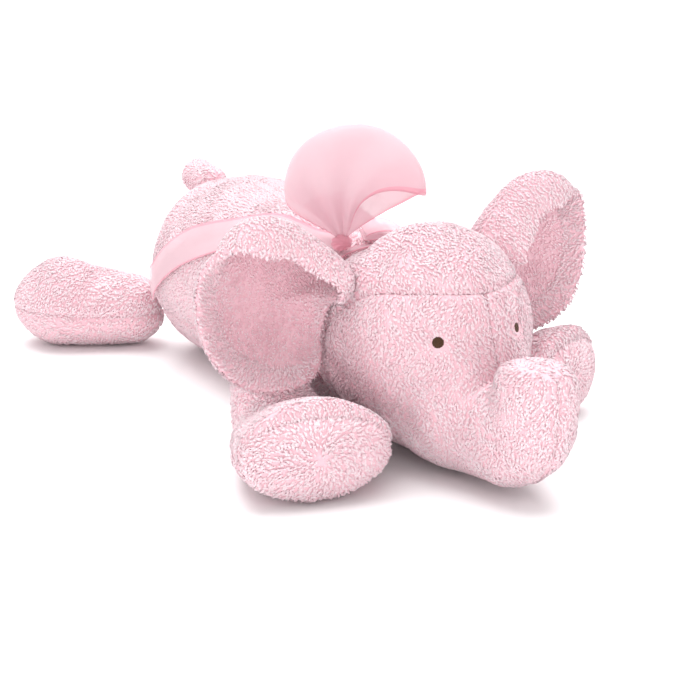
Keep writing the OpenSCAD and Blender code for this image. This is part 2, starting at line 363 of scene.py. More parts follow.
@dataclass(frozen=True)
class Organza(Finish):
    """Sheer woven ribbon: fine threads both ways on the piece's own UV map, which is in metres."""

    thread_mm: float = 0.45

    def detail(self, tree: bpy.types.NodeTree, shader: bpy.types.Node) -> None:
        """Adds the weave as a fine bump.

        Args:
            tree: Node tree of the material.
            shader: Its Principled node.
        """
        uv = add_node(tree, "ShaderNodeUVMap", uv_map="UVMap").outputs["UV"]
        waves = [
            add_node(
                tree, "ShaderNodeTexWave", Vector=uv, bands_direction=way, Scale=0.314 / (self.thread_mm * MM)
            ).outputs["Fac"]
            for way in ("X", "Y")
        ]
        weave = add_node(tree, "ShaderNodeMath", operation="ADD")
        tree.links.new(waves[0], weave.inputs[0])
        tree.links.new(waves[1], weave.inputs[1])
        bump = add_node(tree, "ShaderNodeBump", Height=weave.outputs[0], Strength=0.25, Distance=0.1 * MM)
        tree.links.new(bump.outputs["Normal"], shader.inputs["Normal"])


# Knitted backing under the pile, painted a deeper pink as the shade that falls between the tufts
BACKING = Mottled("fleece_backing", Colour.FLEECE_ROOT, other=Colour.FLEECE_DEEP)
# Brushed lining of the ears, its deeper pink partly the cloth's own and partly painted shade in the hollow of the ear
LINING = Mottled("ear_lining_cloth", Colour.LINING_DEEP, other=Colour.LINING_MID, patch_mm=12.0)
# Pile of the fleece: roots in a deeper pink as painted shade at the foot of the tufts, and three tones of tip that
# fall at random
PILE = (
    Finish("pile_root", Colour.FLEECE_DEEP),
    Finish("pile_light", Colour.FLEECE_LIGHT),
    Finish("pile_mid", Colour.FLEECE_MID),
    Finish("pile_deep", Colour.FLEECE_DEEP),
)
# Short pile of the ear lining: roots in a deeper pink as painted shade at the foot of the tufts, and three tones of
# tip
LINING_PILE = (
    Finish("lining_root", Colour.LINING_DEEP),
    Finish("lining_light", Colour.LINING_LIGHT),
    Finish("lining_mid", Colour.LINING_MID),
    Finish("lining_deep", Colour.LINING_DEEP),
)
# Sheer nylon organza, and its denser woven edge
RIBBON = Organza("organza", Colour.ORGANZA, roughness=0.5, sheen=0.3, alpha=0.55)
SELVAGE = Organza("organza_edge", Colour.ORGANZA_EDGE, roughness=0.5, sheen=0.3, alpha=0.6)
# Satin stitch of the eyes
THREAD = Mottled(
    "satin_stitch_thread",
    Colour.THREAD,
    roughness=0.45,
    sheen=0.1,
    other=Colour.THREAD_DARK,
    patch_mm=0.8,
    grain_mm=0.12,
    bump_mm=0.05,
)
# Loose polyester fibre
FILLING = Mottled("filling_fibre", Colour.FILLING, other=Colour.FILLING, grain_mm=1.5, bump_mm=1.0)


# ---- Geometry ----


def unit(v: Array) -> Array:
    """Scales vectors to length 1.

    Args:
        v: Vectors in the last axis.

    Returns:
        The vectors at length 1, or nearly zero where they had no length.
    """
    return v / np.maximum(np.linalg.norm(v, axis=-1, keepdims=True), 1e-9)


def between(p0: Array, p1: Array, p2: Array, p3: Array, f: Array) -> Array:
    """Smooth curve from one point to the next.

    Args:
        p0: Point before the stretch.
        p1: Its start.
        p2: Its end.
        p3: Point after it.
        f: Share along it.

    Returns:
        Points on the curve.
    """
    square = (2 * p0 - 5 * p1 + 4 * p2 - p3) * f**2
    cube = (3 * p1 - p0 - 3 * p2 + p3) * f**3
    return (2 * p1 + (p2 - p0) * f + square + cube) / 2


def wander(p: Array, size: float, seed: int) -> Array:
    """Smooth noise from a few crossing waves.

    Args:
        p: Points.
        size: Rough size of a bump, mm.
        seed: Seed of the waves.

    Returns:
        One value from about -1 to 1 for each point.
    """
    rng = np.random.default_rng(seed)
    ways = unit(rng.normal(size=(6, 3))) * (math.pi / size) * rng.uniform(0.6, 1.4, (6, 1))
    phases = rng.uniform(0, 2 * math.pi, 6)
    return np.sin(p @ ways.T + phases).sum(axis=-1) / 3.2


def distance_to(p: Array, line: Array) -> Array:
    """Distance from points to a dense polyline.

    Args:
        p: Points.
        line: Points of the line, a millimetre or two apart.

    Returns:
        One distance for each point, mm.
    """
    shape = p.shape[:-1]
    flat = p.reshape(-1, 3)
    out = np.empty(len(flat))
    for k in range(0, len(flat), 4000):
        part = flat[k : k + 4000]
        squares = (part**2).sum(1)[:, None] - 2 * part @ line.T + (line**2).sum(1)[None, :]
        out[k : k + 4000] = np.sqrt(np.maximum(squares.min(axis=1), 0))
    return out.reshape(shape)


@dataclass(frozen=True)
class Form:
    """A stuffed form: cross-sections with a rounded or dished cap at each end.

    A row is [top y, top z, bottom y, bottom z, half width, height share of its widest place].
    """

    rows: tuple[tuple[float, ...], ...]
    first_cap: float
    last_cap: float
    share: float
    floor: float

    def row(self, u: Array) -> Array:
        """Smooth row between the given ones.

        Args:
            u: Place along the rows, from 0 to 1.

        Returns:
            Rows, six numbers in the last axis.
        """
        rows = np.array(self.rows, float)
        n = len(rows) - 1
        i = np.clip(np.floor(u * n).astype(int), 0, n - 1)
        f = (u * n - i)[..., None]
        p0, p1, p2, p3 = (rows[np.clip(i + k, 0, n)] for k in (-1, 0, 1, 2))
        return between(p0, p1, p2, p3, f)

    def point(self, s: Array, a: Array, t: float | Array = 0.0) -> Array:
        """Point on or under the surface.

        Args:
            s: Place from the first pole, 0, to the last, 1.
            a: Angle round from +X, degrees.
            t: Depth below the surface, mm.

        Returns:
            Points, mm.
        """
        s, a = np.broadcast_arrays(np.asarray(s, float), np.asarray(a, float))
        first, last = s < self.share, s > 1 - self.share
        u = np.where(first, 0.0, np.where(last, 1.0, (s - self.share) / (1 - 2 * self.share)))
        row = self.row(u)
        top, bottom = row[..., 0:2], row[..., 2:4]
        height = np.linalg.norm(top - bottom, axis=-1)
        up = (top - bottom) / height[..., None]
        ahead = np.stack([-up[..., 1], up[..., 0]], axis=-1)
        centre = bottom + (top - bottom) * row[..., 5:6]
        q = np.radians(np.where(first, 90 * s / self.share, np.where(last, 90 * (1 - s) / self.share, 90.0)))
        dish = self.last_cap < 0
        shift = np.where(
            first,
            -(self.first_cap - t) * np.cos(q),
            np.where(last, (self.last_cap - (0 if dish else t)) * np.cos(q), 0.0),
        )
        if dish:
            shift = shift - np.where(first, 0.0, t * np.maximum(4 * u - 3, 0))
        rad = np.radians(a)
        reach = np.where(np.sin(rad) > 0, height * (1 - row[..., 5]), height * row[..., 5]) - t
        yz = centre + ahead * shift[..., None] + up * (reach * np.sin(rad) * np.sin(q))[..., None]
        x = (row[..., 4] - t) * np.cos(rad) * np.sin(q)
        return np.stack([x, yz[..., 0], np.maximum(yz[..., 1], self.floor + t)], axis=-1)


@dataclass(frozen=True)
class Placing:
    """Where a form stands: mirrored if asked, after a turn about Z and a move."""

    at: tuple[float, float, float] = (0.0, 0.0, 0.0)
    turn: float = 0.0
    mirrored: bool = False

    def points(self, p: Array) -> Array:
        """Places points.

        Args:
            p: Points of the form.

        Returns:
            Points in the row frame, mm.
        """
        out = self.vectors(p)
        out += np.array([-self.at[0] if self.mirrored else self.at[0], self.at[1], self.at[2]])
        return out

    def vectors(self, v: Array) -> Array:
        """Turns directions.

        Args:
            v: Directions of the form.

        Returns:
            Directions in the row frame.
        """
        c, s = math.cos(math.radians(self.turn)), math.sin(math.radians(self.turn))
        out = np.stack([v[..., 0] * c - v[..., 1] * s, v[..., 0] * s + v[..., 1] * c, v[..., 2]], axis=-1)
        if self.mirrored:
            out[..., 0] *= -1
        return out


def new_object(
    name: str,
    points: Array,
    loops: Array,
    sizes: Array,
    finishes: Sequence[Finish],
    index: Array | None = None,
) -> bpy.types.Object:
    """Makes a smooth mesh object from flat arrays.

    Args:
        name: Name of the object.
        points: Points, mm.
        loops: Corner points of every face, one after another.
        sizes: Number of corners of each face.
        finishes: Finishes of the material slots.
        index: Slot of each face.

    Returns:
        The object, at the origin, linked to the scene.
    """
    mesh = bpy.data.meshes.new(name)
    mesh.vertices.add(len(points))
    mesh.vertices.foreach_set("co", (points * MM).astype(np.float32).ravel())
    mesh.loops.add(len(loops))
    mesh.loops.foreach_set("vertex_index", loops.astype(np.int32))
    mesh.polygons.add(len(sizes))
    mesh.polygons.foreach_set("loop_start", np.concatenate([[0], np.cumsum(sizes)[:-1]]).astype(np.int32))
    for finish in finishes:
        mesh.materials.append(finish.material())
    if index is not None:
        mesh.polygons.foreach_set("material_index", index.astype(np.int32))
    mesh.polygons.foreach_set("use_smooth", np.ones(len(sizes), bool))
    mesh.update(calc_edges=True)
    mesh.validate()
    obj = bpy.data.objects.new(name, mesh)
    bpy.context.scene.collection.objects.link(obj)
    return obj


@dataclass(frozen=True)
class Net:
    """A closed sheet sewn from an outside and an inside layer over rows and columns."""

    rows: int
    cols: int
    start_pole: bool = False
    end_pole: bool = False
    round: bool = False

    def grid(self) -> tuple[Array, Array]:
        """Row and column shares of every point of one layer.

        Returns:
            Row shares and column shares.
        """
        first = 1 if self.start_pole else 0
        last = self.rows - 1 if self.end_pole else self.rows
        cols = self.cols if self.round else self.cols + 1
        i, j = np.meshgrid(np.arange(first, last + 1) / self.rows, np.arange(cols) / self.cols, indexing="ij")
        i, j = i.ravel(), j.ravel()
        if self.start_pole:
            i, j = np.concatenate([[0.0], i]), np.concatenate([[0.0], j])
        if self.end_pole:
            i, j = np.concatenate([i, [1.0]]), np.concatenate([j, [0.0]])
        return i, j

    def faces(self, turned: bool) -> tuple[Array, Array]:
        """Faces of both layers and of the edges that join them.

        Args:
            turned: Reverses every face.

        Returns:
            Corner points and the number of corners of each face.
        """
        first = 1 if self.start_pole else 0
        width = self.cols if self.round else self.cols + 1
        count = len(self.grid()[0])

        def at(layer: int, i: int, j: int) -> int:
            """Number of a point.

            Args:
                layer: 0 for the outside and 1 for the inside.
                i: Row.
                j: Column.

            Returns:
                The number.
            """

            if i < first:
                return layer * count
            if self.end_pole and i >= self.rows:
                return layer * count + count - 1
            return layer * count + first + (i - first) * width + (j % self.cols if self.round else j)

        quads: list[list[int]] = []
        for i in range(self.rows):
            for j in range(self.cols):
                quads.append([at(0, i, j), at(0, i + 1, j), at(0, i + 1, j + 1), at(0, i, j + 1)])
                quads.append([at(1, i, j), at(1, i, j + 1), at(1, i + 1, j + 1), at(1, i + 1, j)])
        if not self.round:
            for i in range(self.rows):
                quads.append([at(0, i + 1, 0), at(0, i, 0), at(1, i, 0), at(1, i + 1, 0)])
                quads.append(
                    [at(0, i, self.cols), at(0, i + 1, self.cols), at(1, i + 1, self.cols), at(1, i, self.cols)]
                )
        for j in range(self.cols):
            if not self.start_pole:
                quads.append([at(0, 0, j), at(0, 0, j + 1), at(1, 0, j + 1), at(1, 0, j)])
            if not self.end_pole:
                quads.append(
                    [at(0, self.rows, j + 1), at(0, self.rows, j), at(1, self.rows, j), at(1, self.rows, j + 1)]
                )
        loops: list[int] = []
        sizes: list[int] = []
        for quad in quads:
            corners = [c for k, c in enumerate(quad) if c != quad[k - 1]]
            if len(corners) < 3:
                continue
            loops.extend(reversed(corners) if turned else corners)
            sizes.append(len(corners))
        return np.array(loops), np.array(sizes)


def normals_of(surface: Surface, i: Array, j: Array) -> Array:
    """Normals of a surface by small differences.

    Args:
        surface: The surface.
        i: Row shares.
        j: Column shares.

    Returns:
        Unit normals, the side that a Net's outside layer faces.
    """
    e = 2e-3
    i = np.clip(i, 2 * e, 1 - 2 * e)
    along = surface(i + e, j) - surface(i - e, j)
    across = surface(i, j + e) - surface(i, j - e)
    return unit(np.cross(across, along))


# ---- Pile ----


@dataclass(frozen=True)
class Pile:
    """Terry pile: bent three-sided tufts, scattered evenly over a surface."""

    length: float = 3.5
    width: float = 1.5
    spacing: float = 1.5
    lift: float = 0.26
    finishes: tuple[Finish, ...] = PILE
    along: float = 0.5
    down: float = 1.0
    swirl: float = 0.7

    def scatter(
        self, surface: Surface, i_cells: int, j_cells: int, rng: np.random.Generator
    ) -> tuple[Array, Array]:
        """Spreads tufts evenly over a surface.

        Args:
            surface: The surface.
            i_cells: Cells along the rows.
            j_cells: Cells along the columns.
            rng: Source of random numbers.

        Returns:
            Row shares and column shares of the tufts.
        """
        i, j = np.meshgrid(np.linspace(0, 1, i_cells + 1), np.linspace(0, 1, j_cells + 1), indexing="ij")
        p = surface(i, j)
        one = p[1:, 1:] - p[:-1, :-1]
        two = p[1:, :-1] - p[:-1, 1:]
        area = np.linalg.norm(np.cross(one, two), axis=-1) / 2
        total = np.cumsum(area.ravel())
        n = int(total[-1] / self.spacing**2)
        cell = np.searchsorted(total, (np.arange(n) + rng.uniform(0, 1, n)) * total[-1] / n)
        cell = np.minimum(cell, area.size - 1)
        ci, cj = np.divmod(cell, j_cells)
        return (ci + rng.uniform(0, 1, n)) / i_cells, (cj + rng.uniform(0, 1, n)) / j_cells

    def grow(
        self,
        name: str,
        surface: Surface,
        placing: Placing,
        cells: tuple[int, int],
        seed: int,
        keep: Callable[[Array, Array, Array, Array], Array] | None = None,
        shade: Callable[[Array, Array], Array] | None = None,
    ) -> bpy.types.Object:
        """Grows the tufts over a surface.

        Args:
            name: Name of the object.
            surface: The surface, in its form's own place.
            placing: Where the form stands.
            cells: Cells along the rows and columns for the scatter.
            seed: Seed of the random numbers.
            keep: Gives each tuft's length share from points, normals, row and column shares. 0 drops it.
            shade: Gives how light each tuft is, from 0 to 1, from its row and column shares.

        Returns:
            The object with all the tufts.
        """
        rng = np.random.default_rng(seed)
        i, j = self.scatter(surface, *cells, rng)
        p = surface(i, j)
        n = normals_of(surface, i, j)
        e = 2e-3
        along = unit(surface(np.clip(i + e, 0, 1), j) - surface(np.clip(i - e, 0, 1), j))
        p, n, along = placing.points(p), placing.vectors(n), placing.vectors(along)
        share = np.ones(len(p)) if keep is None else keep(p, n, i, j)
        live = share > 0.05
        p, n, along, share, i, j = (x[live] for x in (p, n, along, share, i, j))
        count = len(p)
        comb = self.along * along + self.down * np.array([0.0, 0.0, -1.0])
        comb = unit(comb - n * (comb * n).sum(-1, keepdims=True))
        side = np.cross(n, comb)
        angle = self.swirl * wander(p, 16, seed + 1) + rng.normal(0, 0.35, count)
        comb = comb * np.cos(angle)[:, None] + side * np.sin(angle)[:, None]
        side = np.cross(n, comb)
        length = (self.length * share * rng.uniform(0.7, 1.25, count))[:, None]
        radius = (self.width / 2 * rng.uniform(0.75, 1.2, count))[:, None]
        lift = self.lift * (1 + 0.35 * wander(p, 7, seed + 2))[:, None]
        rise = unit(n * lift + comb * 0.8)
        bend = unit(rise + comb * 0.7 + side * rng.normal(0, 0.35, (count, 1)) - n * 0.25)
        middle = p + rise * length * 0.5
        tip = middle + bend * length * 0.5
        up = unit(np.cross(rise, side))
        verts = np.empty((count, 7, 3))
        for k in range(3):
            turn = 2 * math.pi * k / 3 + math.pi / 2
            ring = radius * (math.cos(turn) * side - math.sin(turn) * up)
            verts[:, k] = p - n * 0.8 + ring
            verts[:, 3 + k] = middle + ring * 0.95
        verts[:, 6] = tip
        verts[..., 2] = np.maximum(verts[..., 2], 0.15)
        pattern = [0, 1, 2]
        for k in range(3):
            m = (k + 1) % 3
            pattern += [m, k, 3 + k, 3 + m]
        for k in range(3):
            pattern += [3 + (k + 1) % 3, 3 + k, 6]
        loops = (np.array(pattern)[None, :] + 7 * np.arange(count)[:, None]).ravel()
        sizes = np.tile([3, 4, 4, 4, 3, 3, 3], count)
        light = 0.62 + 0.2 * wander(p, 9, seed + 3) if shade is None else shade(i, j)
        draw = rng.uniform(0, 1, count)
        tone = np.where(draw < light, 1, np.where(draw < light + 0.25, 2, 3))
        # Painted shade: the base and the lower sides of every tuft take the first slot, a deeper pink for the shade at
        # the roots. The tips take a tone at random, or from shade where it is given.
        index = np.stack([np.zeros(count, int)] * 4 + [tone] * 3, axis=1).ravel()
        obj = new_object(name, verts.reshape(-1, 3), loops, sizes, self.finishes, index)
        shading = unit(verts - verts.mean(axis=1, keepdims=True))
        obj.data.normals_split_custom_set_from_vertices(shading.reshape(-1, 3))
        return obj


# ---- Panels ----

# Reach of the wide shallow hollow along every seam
SEAM_HOLLOW = 9.0


@dataclass(frozen=True)
class Seam:
    """A sewn line on a form: points close together, and how deep it pulls the cloth in."""

    line: Array
    depth: float = 1.7
    reach: float = 2.6


@dataclass
class Skin:
    """Outside of a stuffed form: lumps of the filling under it and seams that pull it in."""

    form: Form
    seams: tuple[Seam, ...] = ()
    inset: float = 1.9
    lump: float = 0.8
    seed: int = 1

    def point(self, s: Array, a: Array, depth: float = 0.0) -> Array:
        """Point on the skin with its lumps and seams.

        Args:
            s: Place from pole to pole.
            a: Angle, degrees.
            depth: Depth below the skin, mm.

        Returns:
            Points, mm.
        """
        p = self.form.point(s, a, self.inset + depth)
        e = 1.5e-3
        q = np.clip(s, 2 * e, 1 - 2 * e)
        along = self.form.point(q + e, a) - self.form.point(q - e, a)
        across = self.form.point(q, a + 0.6) - self.form.point(q, a - 0.6)
        n = unit(np.cross(across, along))
        move = self.lump * wander(p, 26, self.seed) + 0.35 * self.lump * wander(p, 11, self.seed + 5)
        for seam in self.seams:
            d = distance_to(p, seam.line)
            groove, hollow = np.exp(-((d / seam.reach) ** 2)), np.exp(-((d / SEAM_HOLLOW) ** 2))
            move = move - seam.depth * (groove + 0.35 * hollow)
        out = p + n * move[..., None]
        out[..., 2] = np.maximum(out[..., 2], self.form.floor + 1.2 + depth)
        return out


@dataclass
class Panel:
    """One fleece panel of a skin, with its pile."""

    name: str
    skin: Skin
    net: Net
    s_at: Callable[[Array, Array], Array]
    a_at: Callable[[Array, Array], Array]
    placing: Placing
    body: str
    nodes: tuple[str, ...]
    pile: Pile | None
    keep: Callable[[Array, Array, Array, Array], Array] | None = None
    thick: float = 1.8
    fill: float = 0.8
    seed: int = 11
    made: list[bpy.types.Object] = field(default_factory=list)

    def surface(self, i: Array, j: Array, depth: float = 0.0) -> Array:
        """Point of the panel.

        Args:
            i: Row shares.
            j: Column shares.
            depth: Depth below the skin.

        Returns:
            Points, mm, in the form's own place.
        """
        return self.skin.point(self.s_at(i, j), self.a_at(i, j), depth)

    def build(self) -> list[bpy.types.Object]:
        """Makes the panel and its pile, and puts them on their body.

        Returns:
            The panel and, if it has one, its pile.
        """
        i, j = self.net.grid()
        layers = [self.placing.points(self.surface(i, j, depth)) for depth in (0.0, self.thick)]
        loops, sizes = self.net.faces(turned=not self.placing.mirrored)
        obj = new_object(self.name + "_skin", np.concatenate(layers), loops, sizes, [BACKING])
        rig.ride(obj, self.body)
        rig.replaces(obj, *self.nodes)
        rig.slot(obj, "fleece")
        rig.padded(obj, fill=self.fill)
        self.made.append(obj)
        if self.pile is not None:
            cells = (max(self.net.rows * 2, 20), max(self.net.cols * 2, 20))
            hair = self.pile.grow(self.name + "_pile", self.surface, self.placing, cells, self.seed, self.keep)
            hair.parent = obj
            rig.slot(hair, "fleece")
            self.made.append(hair)
            LOG.info("%s: %d tufts", hair.name, len(hair.data.vertices) // 7)
        return self.made


def near_edge(p: Array, lines: Sequence[Array], bare: float, short: float) -> Array:
    """Length share of tufts that stand near sewn lines.

    Args:
        p: Points of the tufts.
        lines: The sewn lines.
        bare: Distance inside which no tuft stands, mm.
        short: Distance at which tufts have their whole length, mm.

    Returns:
        One share for each tuft.
    """
    share = np.ones(len(p))
    for line in lines:
        d = distance_to(p, line)
        grown = np.clip(0.45 + 0.55 * (d - bare) / (short - bare), 0, 1)
        share = np.minimum(share, np.where(d < bare, 0.0, grown))
    return share


def thin_below(height: float, p: Array, i: Array, share: Array) -> Array:
    """Keeps one tuft in five where a piece lies on the floor.

    Args:
        height: Height below which the pile is thinned, mm.
        p: Points of the tufts.
        i: Row shares, which pick the tufts to keep.
        share: Length shares so far.

    Returns:
        The length shares.
    """
    dropped = i % 0.01 > 0.002
    return np.where((p[:, 2] < height) & dropped, 0.0, share)


# ---- Torso ----

NECK_Y, NECK_Z, NECK_BALL_R, NECK_PLAY = -62.0, 62.0, 52.0, 0.6
TORSO_FRONT, TORSO_BACK, TORSO_HALF_W, TORSO_H = 28.0, 177.0, 63.0, 127.0
DISH_R = math.sqrt((NECK_BALL_R + NECK_PLAY) ** 2 - (NECK_Y + TORSO_FRONT) ** 2)
DISH_DEPTH = NECK_Y + NECK_BALL_R + NECK_PLAY + TORSO_FRONT

TORSO = Form(
    rows=tuple(
        (y, TORSO_H + h, y, -3.0, TORSO_HALF_W * w, 0.47)
        for y, h, w in (
            (135.0, -6.0, 0.97), (100.0, 0.0, 1.0), (55.0, 0.0, 1.0), (20.0, -2.0, 0.99), (-6.0, -12.0, 0.9)
        )
    )
    + (
        (-19.0, 112.0, -19.0, 12.0, 49.0, 0.49),
        (-TORSO_FRONT, NECK_Z + DISH_R, -TORSO_FRONT, NECK_Z - DISH_R, DISH_R, 0.5),
    ),
    first_cap=TORSO_BACK - 135,
    last_cap=-DISH_DEPTH,
    share=0.2,
    floor=0.0,
)


@dataclass
class Torso:
    """Back panel and belly panel, joined low along each flank."""

    seam_angles: tuple[float, float] = (-24.0, 204.0)

    def build(self) -> list[bpy.types.Object]:
        """Makes both panels.

        Returns:
            The pieces.
        """
        s = np.linspace(0.01, 0.99, 260)
        seams = tuple(Seam(TORSO.point(s, np.full_like(s, a), 1.9)) for a in self.seam_angles)
        skin = Skin(TORSO, seams, seed=3, lump=1.0)
        low, high = self.seam_angles
        lines = [seam.line for seam in seams]

        def keep(p: Array, n: Array, i: Array, j: Array) -> Array:
            """Length share of each tuft.

            Args:
                p: Points of the tufts.
                n: Their normals.
                i: Row shares.
                j: Column shares.

            Returns:
                The shares, 0 where no tuft stands.
            """

            share = near_edge(p, lines, 0.5, 3.0)
            share = np.where(i > 0.8, 0.0, share)
            return thin_below(2.5, p, i, share)

        made = []
        for name, a0, a1, cols in (("torso_back", low, high, 150), ("torso_belly", high, 360 + low, 80)):
            made += Panel(
                name=name,
                skin=skin,
                net=Net(150, cols, start_pole=True, end_pole=True),
                s_at=lambda i, j: i + 0 * j,
                a_at=lambda i, j, a0=a0, a1=a1: a0 + 0.15 + (a1 - a0 - 0.3) * j + 0 * i,
                placing=Placing(),
                body=Body.TORSO.value,
                nodes=(name + "_panel",),
                pile=Pile(along=-0.9, down=0.8),
                keep=keep,
                seed=21 + cols,
            ).build()
        return made


# ---- Head ----

HEAD_HALF_W, CROWN_H, TRUNK_HALF_W = 60.0, 138.0, 24.0
CREASE = (-169.0, 70.0)
CREASE_R = 3.0


def trunk_row(tilt: float, length: float, half_w: float) -> tuple[float, ...]:
    """Row of the trunk, which fans out about the crease under the face.

    Args:
        tilt: Angle that the row leans back from upright, degrees.
        length: Height of the row, mm.
        half_w: Half width, mm.

    Returns:
        The row.
    """
    up = (math.sin(math.radians(tilt)), math.cos(math.radians(tilt)))
    top = (CREASE[0] - up[0] * CREASE_R, CREASE[1] - up[1] * CREASE_R)
    return (top[0], top[1], top[0] - up[0] * length, top[1] - up[1] * length, half_w, 0.48)


HEAD = Form(
    rows=(
        (NECK_Y, NECK_Z + NECK_BALL_R, NECK_Y, NECK_Z - NECK_BALL_R, NECK_BALL_R, 0.5),
        (-86.0, CROWN_H - 4, -76.0, 5.0, HEAD_HALF_W - 1, 0.52),
        (-112.0, CROWN_H - 1, -88.0, 3.0, HEAD_HALF_W, 0.52),
        (-138.0, CROWN_H - 12, -98.0, 3.0, HEAD_HALF_W - 4, 0.49),
        (-152.0, 110.0, -106.0, 3.0, 50.0, 0.45),
        (-159.0, 92.0, -112.0, 3.0, 43.0, 0.43),
        trunk_row(-30, 76, 37),
        trunk_row(-5, 64, TRUNK_HALF_W + 6),
        trunk_row(20, 64, TRUNK_HALF_W + 3),
        trunk_row(45, 60, TRUNK_HALF_W + 1),
        trunk_row(68, 53, TRUNK_HALF_W),
        trunk_row(90, 49, TRUNK_HALF_W - 1),
    ),
    first_cap=NECK_BALL_R,
    last_cap=14.0,
    share=0.12,
    floor=0.0,
)
EYES = {Side.RIGHT: (0.44, 47.0), Side.LEFT: (0.46, 60.0)}


def crown_seam(a: Array) -> Array:
    """Place of the brow seam.

    Args:
        a: Angle round the head, degrees.

    Returns:
        Share from pole to pole.
    """
    return 0.13 + 0.265 * np.maximum(np.sin(np.radians(a)), 0)


@dataclass
class Head:
    """Crown panel and the two face panels, with their brow and middle seams."""

    skin: Skin = field(init=False)

    def __post_init__(self) -> None:
        """Sews the seams and the hollows round the eyes."""
        a = np.linspace(0, 360, 500)
        s = np.linspace(0.395, 0.99, 300)
        low = np.linspace(0.13, 0.99, 300)
        brow = HEAD.point(crown_seam(a), a, 1.9)
        middle = np.concatenate([HEAD.point(s, 0 * s + 90, 1.9), HEAD.point(low, 0 * low - 90, 1.9)])
        eyes = [Seam(self.eye_place(side)[0][None, :], depth=1.6, reach=5.0) for side in Side]
        self.skin = Skin(HEAD, (Seam(brow, 1.4), Seam(middle, 1.2, 2.2), *eyes), seed=5, lump=0.9)

    @staticmethod
    def eye_place(side: Side) -> tuple[Array, Array]:
        """Middle and normal of an eye.

        Args:
            side: Which eye.

        Returns:
            Point and unit normal, mm.
        """
        s, a = EYES[side]
        flip = np.array([side.value, 1, 1])
        p = HEAD.point(s, a, 1.9)
        along = HEAD.point(s + 0.01, a) - HEAD.point(s - 0.01, a)
        across = HEAD.point(s, a + 4) - HEAD.point(s, a - 4)
        return p * flip, unit(np.cross(across, along)) * flip

    def build(self) -> list[bpy.types.Object]:
        """Makes the three panels.

        Returns:
            The pieces.
        """
        brow, middle = self.skin.seams[0].line, self.skin.seams[1].line
        eyes = [self.eye_place(side)[0] for side in Side]

        def keep(p: Array, n: Array, i: Array, j: Array) -> Array:
            """Length share of each tuft.

            Args:
                p: Points of the tufts.
                n: Their normals.
                i: Row shares.
                j: Column shares.

            Returns:
                The shares, 0 where no tuft stands.
            """

            share = near_edge(p, [brow, middle], 0.25, 2.2)
            for eye in eyes:
                d = np.linalg.norm(p - eye, axis=-1)
                share = np.where(d < 4.4, 0.0, np.minimum(share, np.clip(0.55 + (d - 4.4) / 9, 0, 1)))
            share = np.where((p[:, 1] > -50) & (np.hypot(p[:, 0], p[:, 2] - NECK_Z) < 44), 0.0, share)
            return thin_below(2.0, p, i, share)

        made = Panel(
            name="head_crown",
            skin=self.skin,
            net=Net(70, 180, start_pole=True, round=True),
            s_at=lambda i, j: i * (crown_seam(360 * j) - 0.0012),
            a_at=lambda i, j: 360 * j + 0 * i,
            placing=Placing(),
            body=Body.HEAD.value,
            nodes=("head_crown_panel",),
            pile=Pile(along=1.0, down=0.5),
            keep=keep,
            seed=41,
        ).build()
        for side in Side:
            start = 90.3 if side is Side.RIGHT else -89.7

            def a_at(i: Array, j: Array, start: float = start) -> Array:
                """Angle round the form.

                Args:
                    i: Row shares.
                    j: Column shares.
                    start: Angle of the first column.

                Returns:
                    Degrees.
                """

                return start + 179.4 * j + 0 * i

            def s_at(i: Array, j: Array, a_at: Surface = a_at) -> Array:
                """Place from pole to pole.

                Args:
                    i: Row shares.
                    j: Column shares.
                    a_at: Angle at the same place.

                Returns:
                    Shares.
                """

                seam = crown_seam(a_at(i, j)) + 0.0012
                return seam + (1 - seam) * i

            made += Panel(
                name=f"head_face_{side.word}",
                skin=self.skin,
                net=Net(150, 96, end_pole=True),
                s_at=s_at,
                a_at=a_at,
                placing=Placing(),
                body=Body.HEAD.value,
                nodes=(f"head_face_{side.word}",),
                pile=Pile(along=0.25, down=1.0),
                keep=keep,
                seed=43 + side.value,
            ).build()
        return made


@dataclass
class Eye:
    """Satin-stitched eye: rows of thread laid side by side over a low dome."""

    side: Side
    radius: float = 3.9
    thread: float = 0.46
    sunk: float = 2.0

    def build(self) -> list[bpy.types.Object]:
        """Makes the eye.

        Returns:
            The piece.
        """
        middle, normal = Head.eye_place(self.side)
        middle = middle - normal * self.sunk
        right = unit(np.cross(np.array([0.0, 0.0, 1.0]), normal))
        up = np.cross(normal, right)
        points, loops, sizes = [], [], []
        steps, ring = 12, 6
        rows = int(self.radius / self.thread * 0.97)
        for k in range(-rows, rows + 1):
            x = k * self.thread
            half = math.sqrt(max(self.radius**2 - x * x, 0.1))
            base = len(points)
            for m in range(steps + 1):
                y = half * (2 * m / steps - 1)
                dome = 1.6 * math.sqrt(max(1 - (x * x + y * y) / (self.radius + 0.4) ** 2, 0))
                size = self.thread * 0.62 * (0.55 if m in (0, steps) else 1)
                for c in range(ring):
                    turn = 2 * math.pi * c / ring
                    off_x = x + size * math.cos(turn)
                    off_z = dome - 0.3 + size * math.sin(turn) + 0.07 * (k % 2)
                    points.append(middle + right * off_x + up * (y + 0.12 * (k % 3)) + normal * off_z)
            for m in range(steps):
                here, ahead = base + m * ring, base + (m + 1) * ring
                for c in range(ring):
                    d = (c + 1) % ring
                    loops += [here + c, ahead + c, ahead + d, here + d]
                    sizes.append(4)
            loops += [base + c for c in range(ring)]
            loops += [base + steps * ring + c for c in reversed(range(ring))]
            sizes += [ring, ring]
        name = f"eye_{self.side.word}_stitch"
        obj = new_object(name, np.array(points), np.array(loops), np.array(sizes), [THREAD])
        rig.ride(obj, Body.HEAD.value)
        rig.replaces(obj, f"eye_{self.side.word}")
        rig.slot(obj, "eye_thread")
        return [obj]


# ---- Ears ----

# The ear bends between these distances from the middle of the head
EAR_BEND = (56.0, 82.0)
EAR_MIDDLE = (92.0, -57.5, 96.0)
EAR_PLANE = -72.5
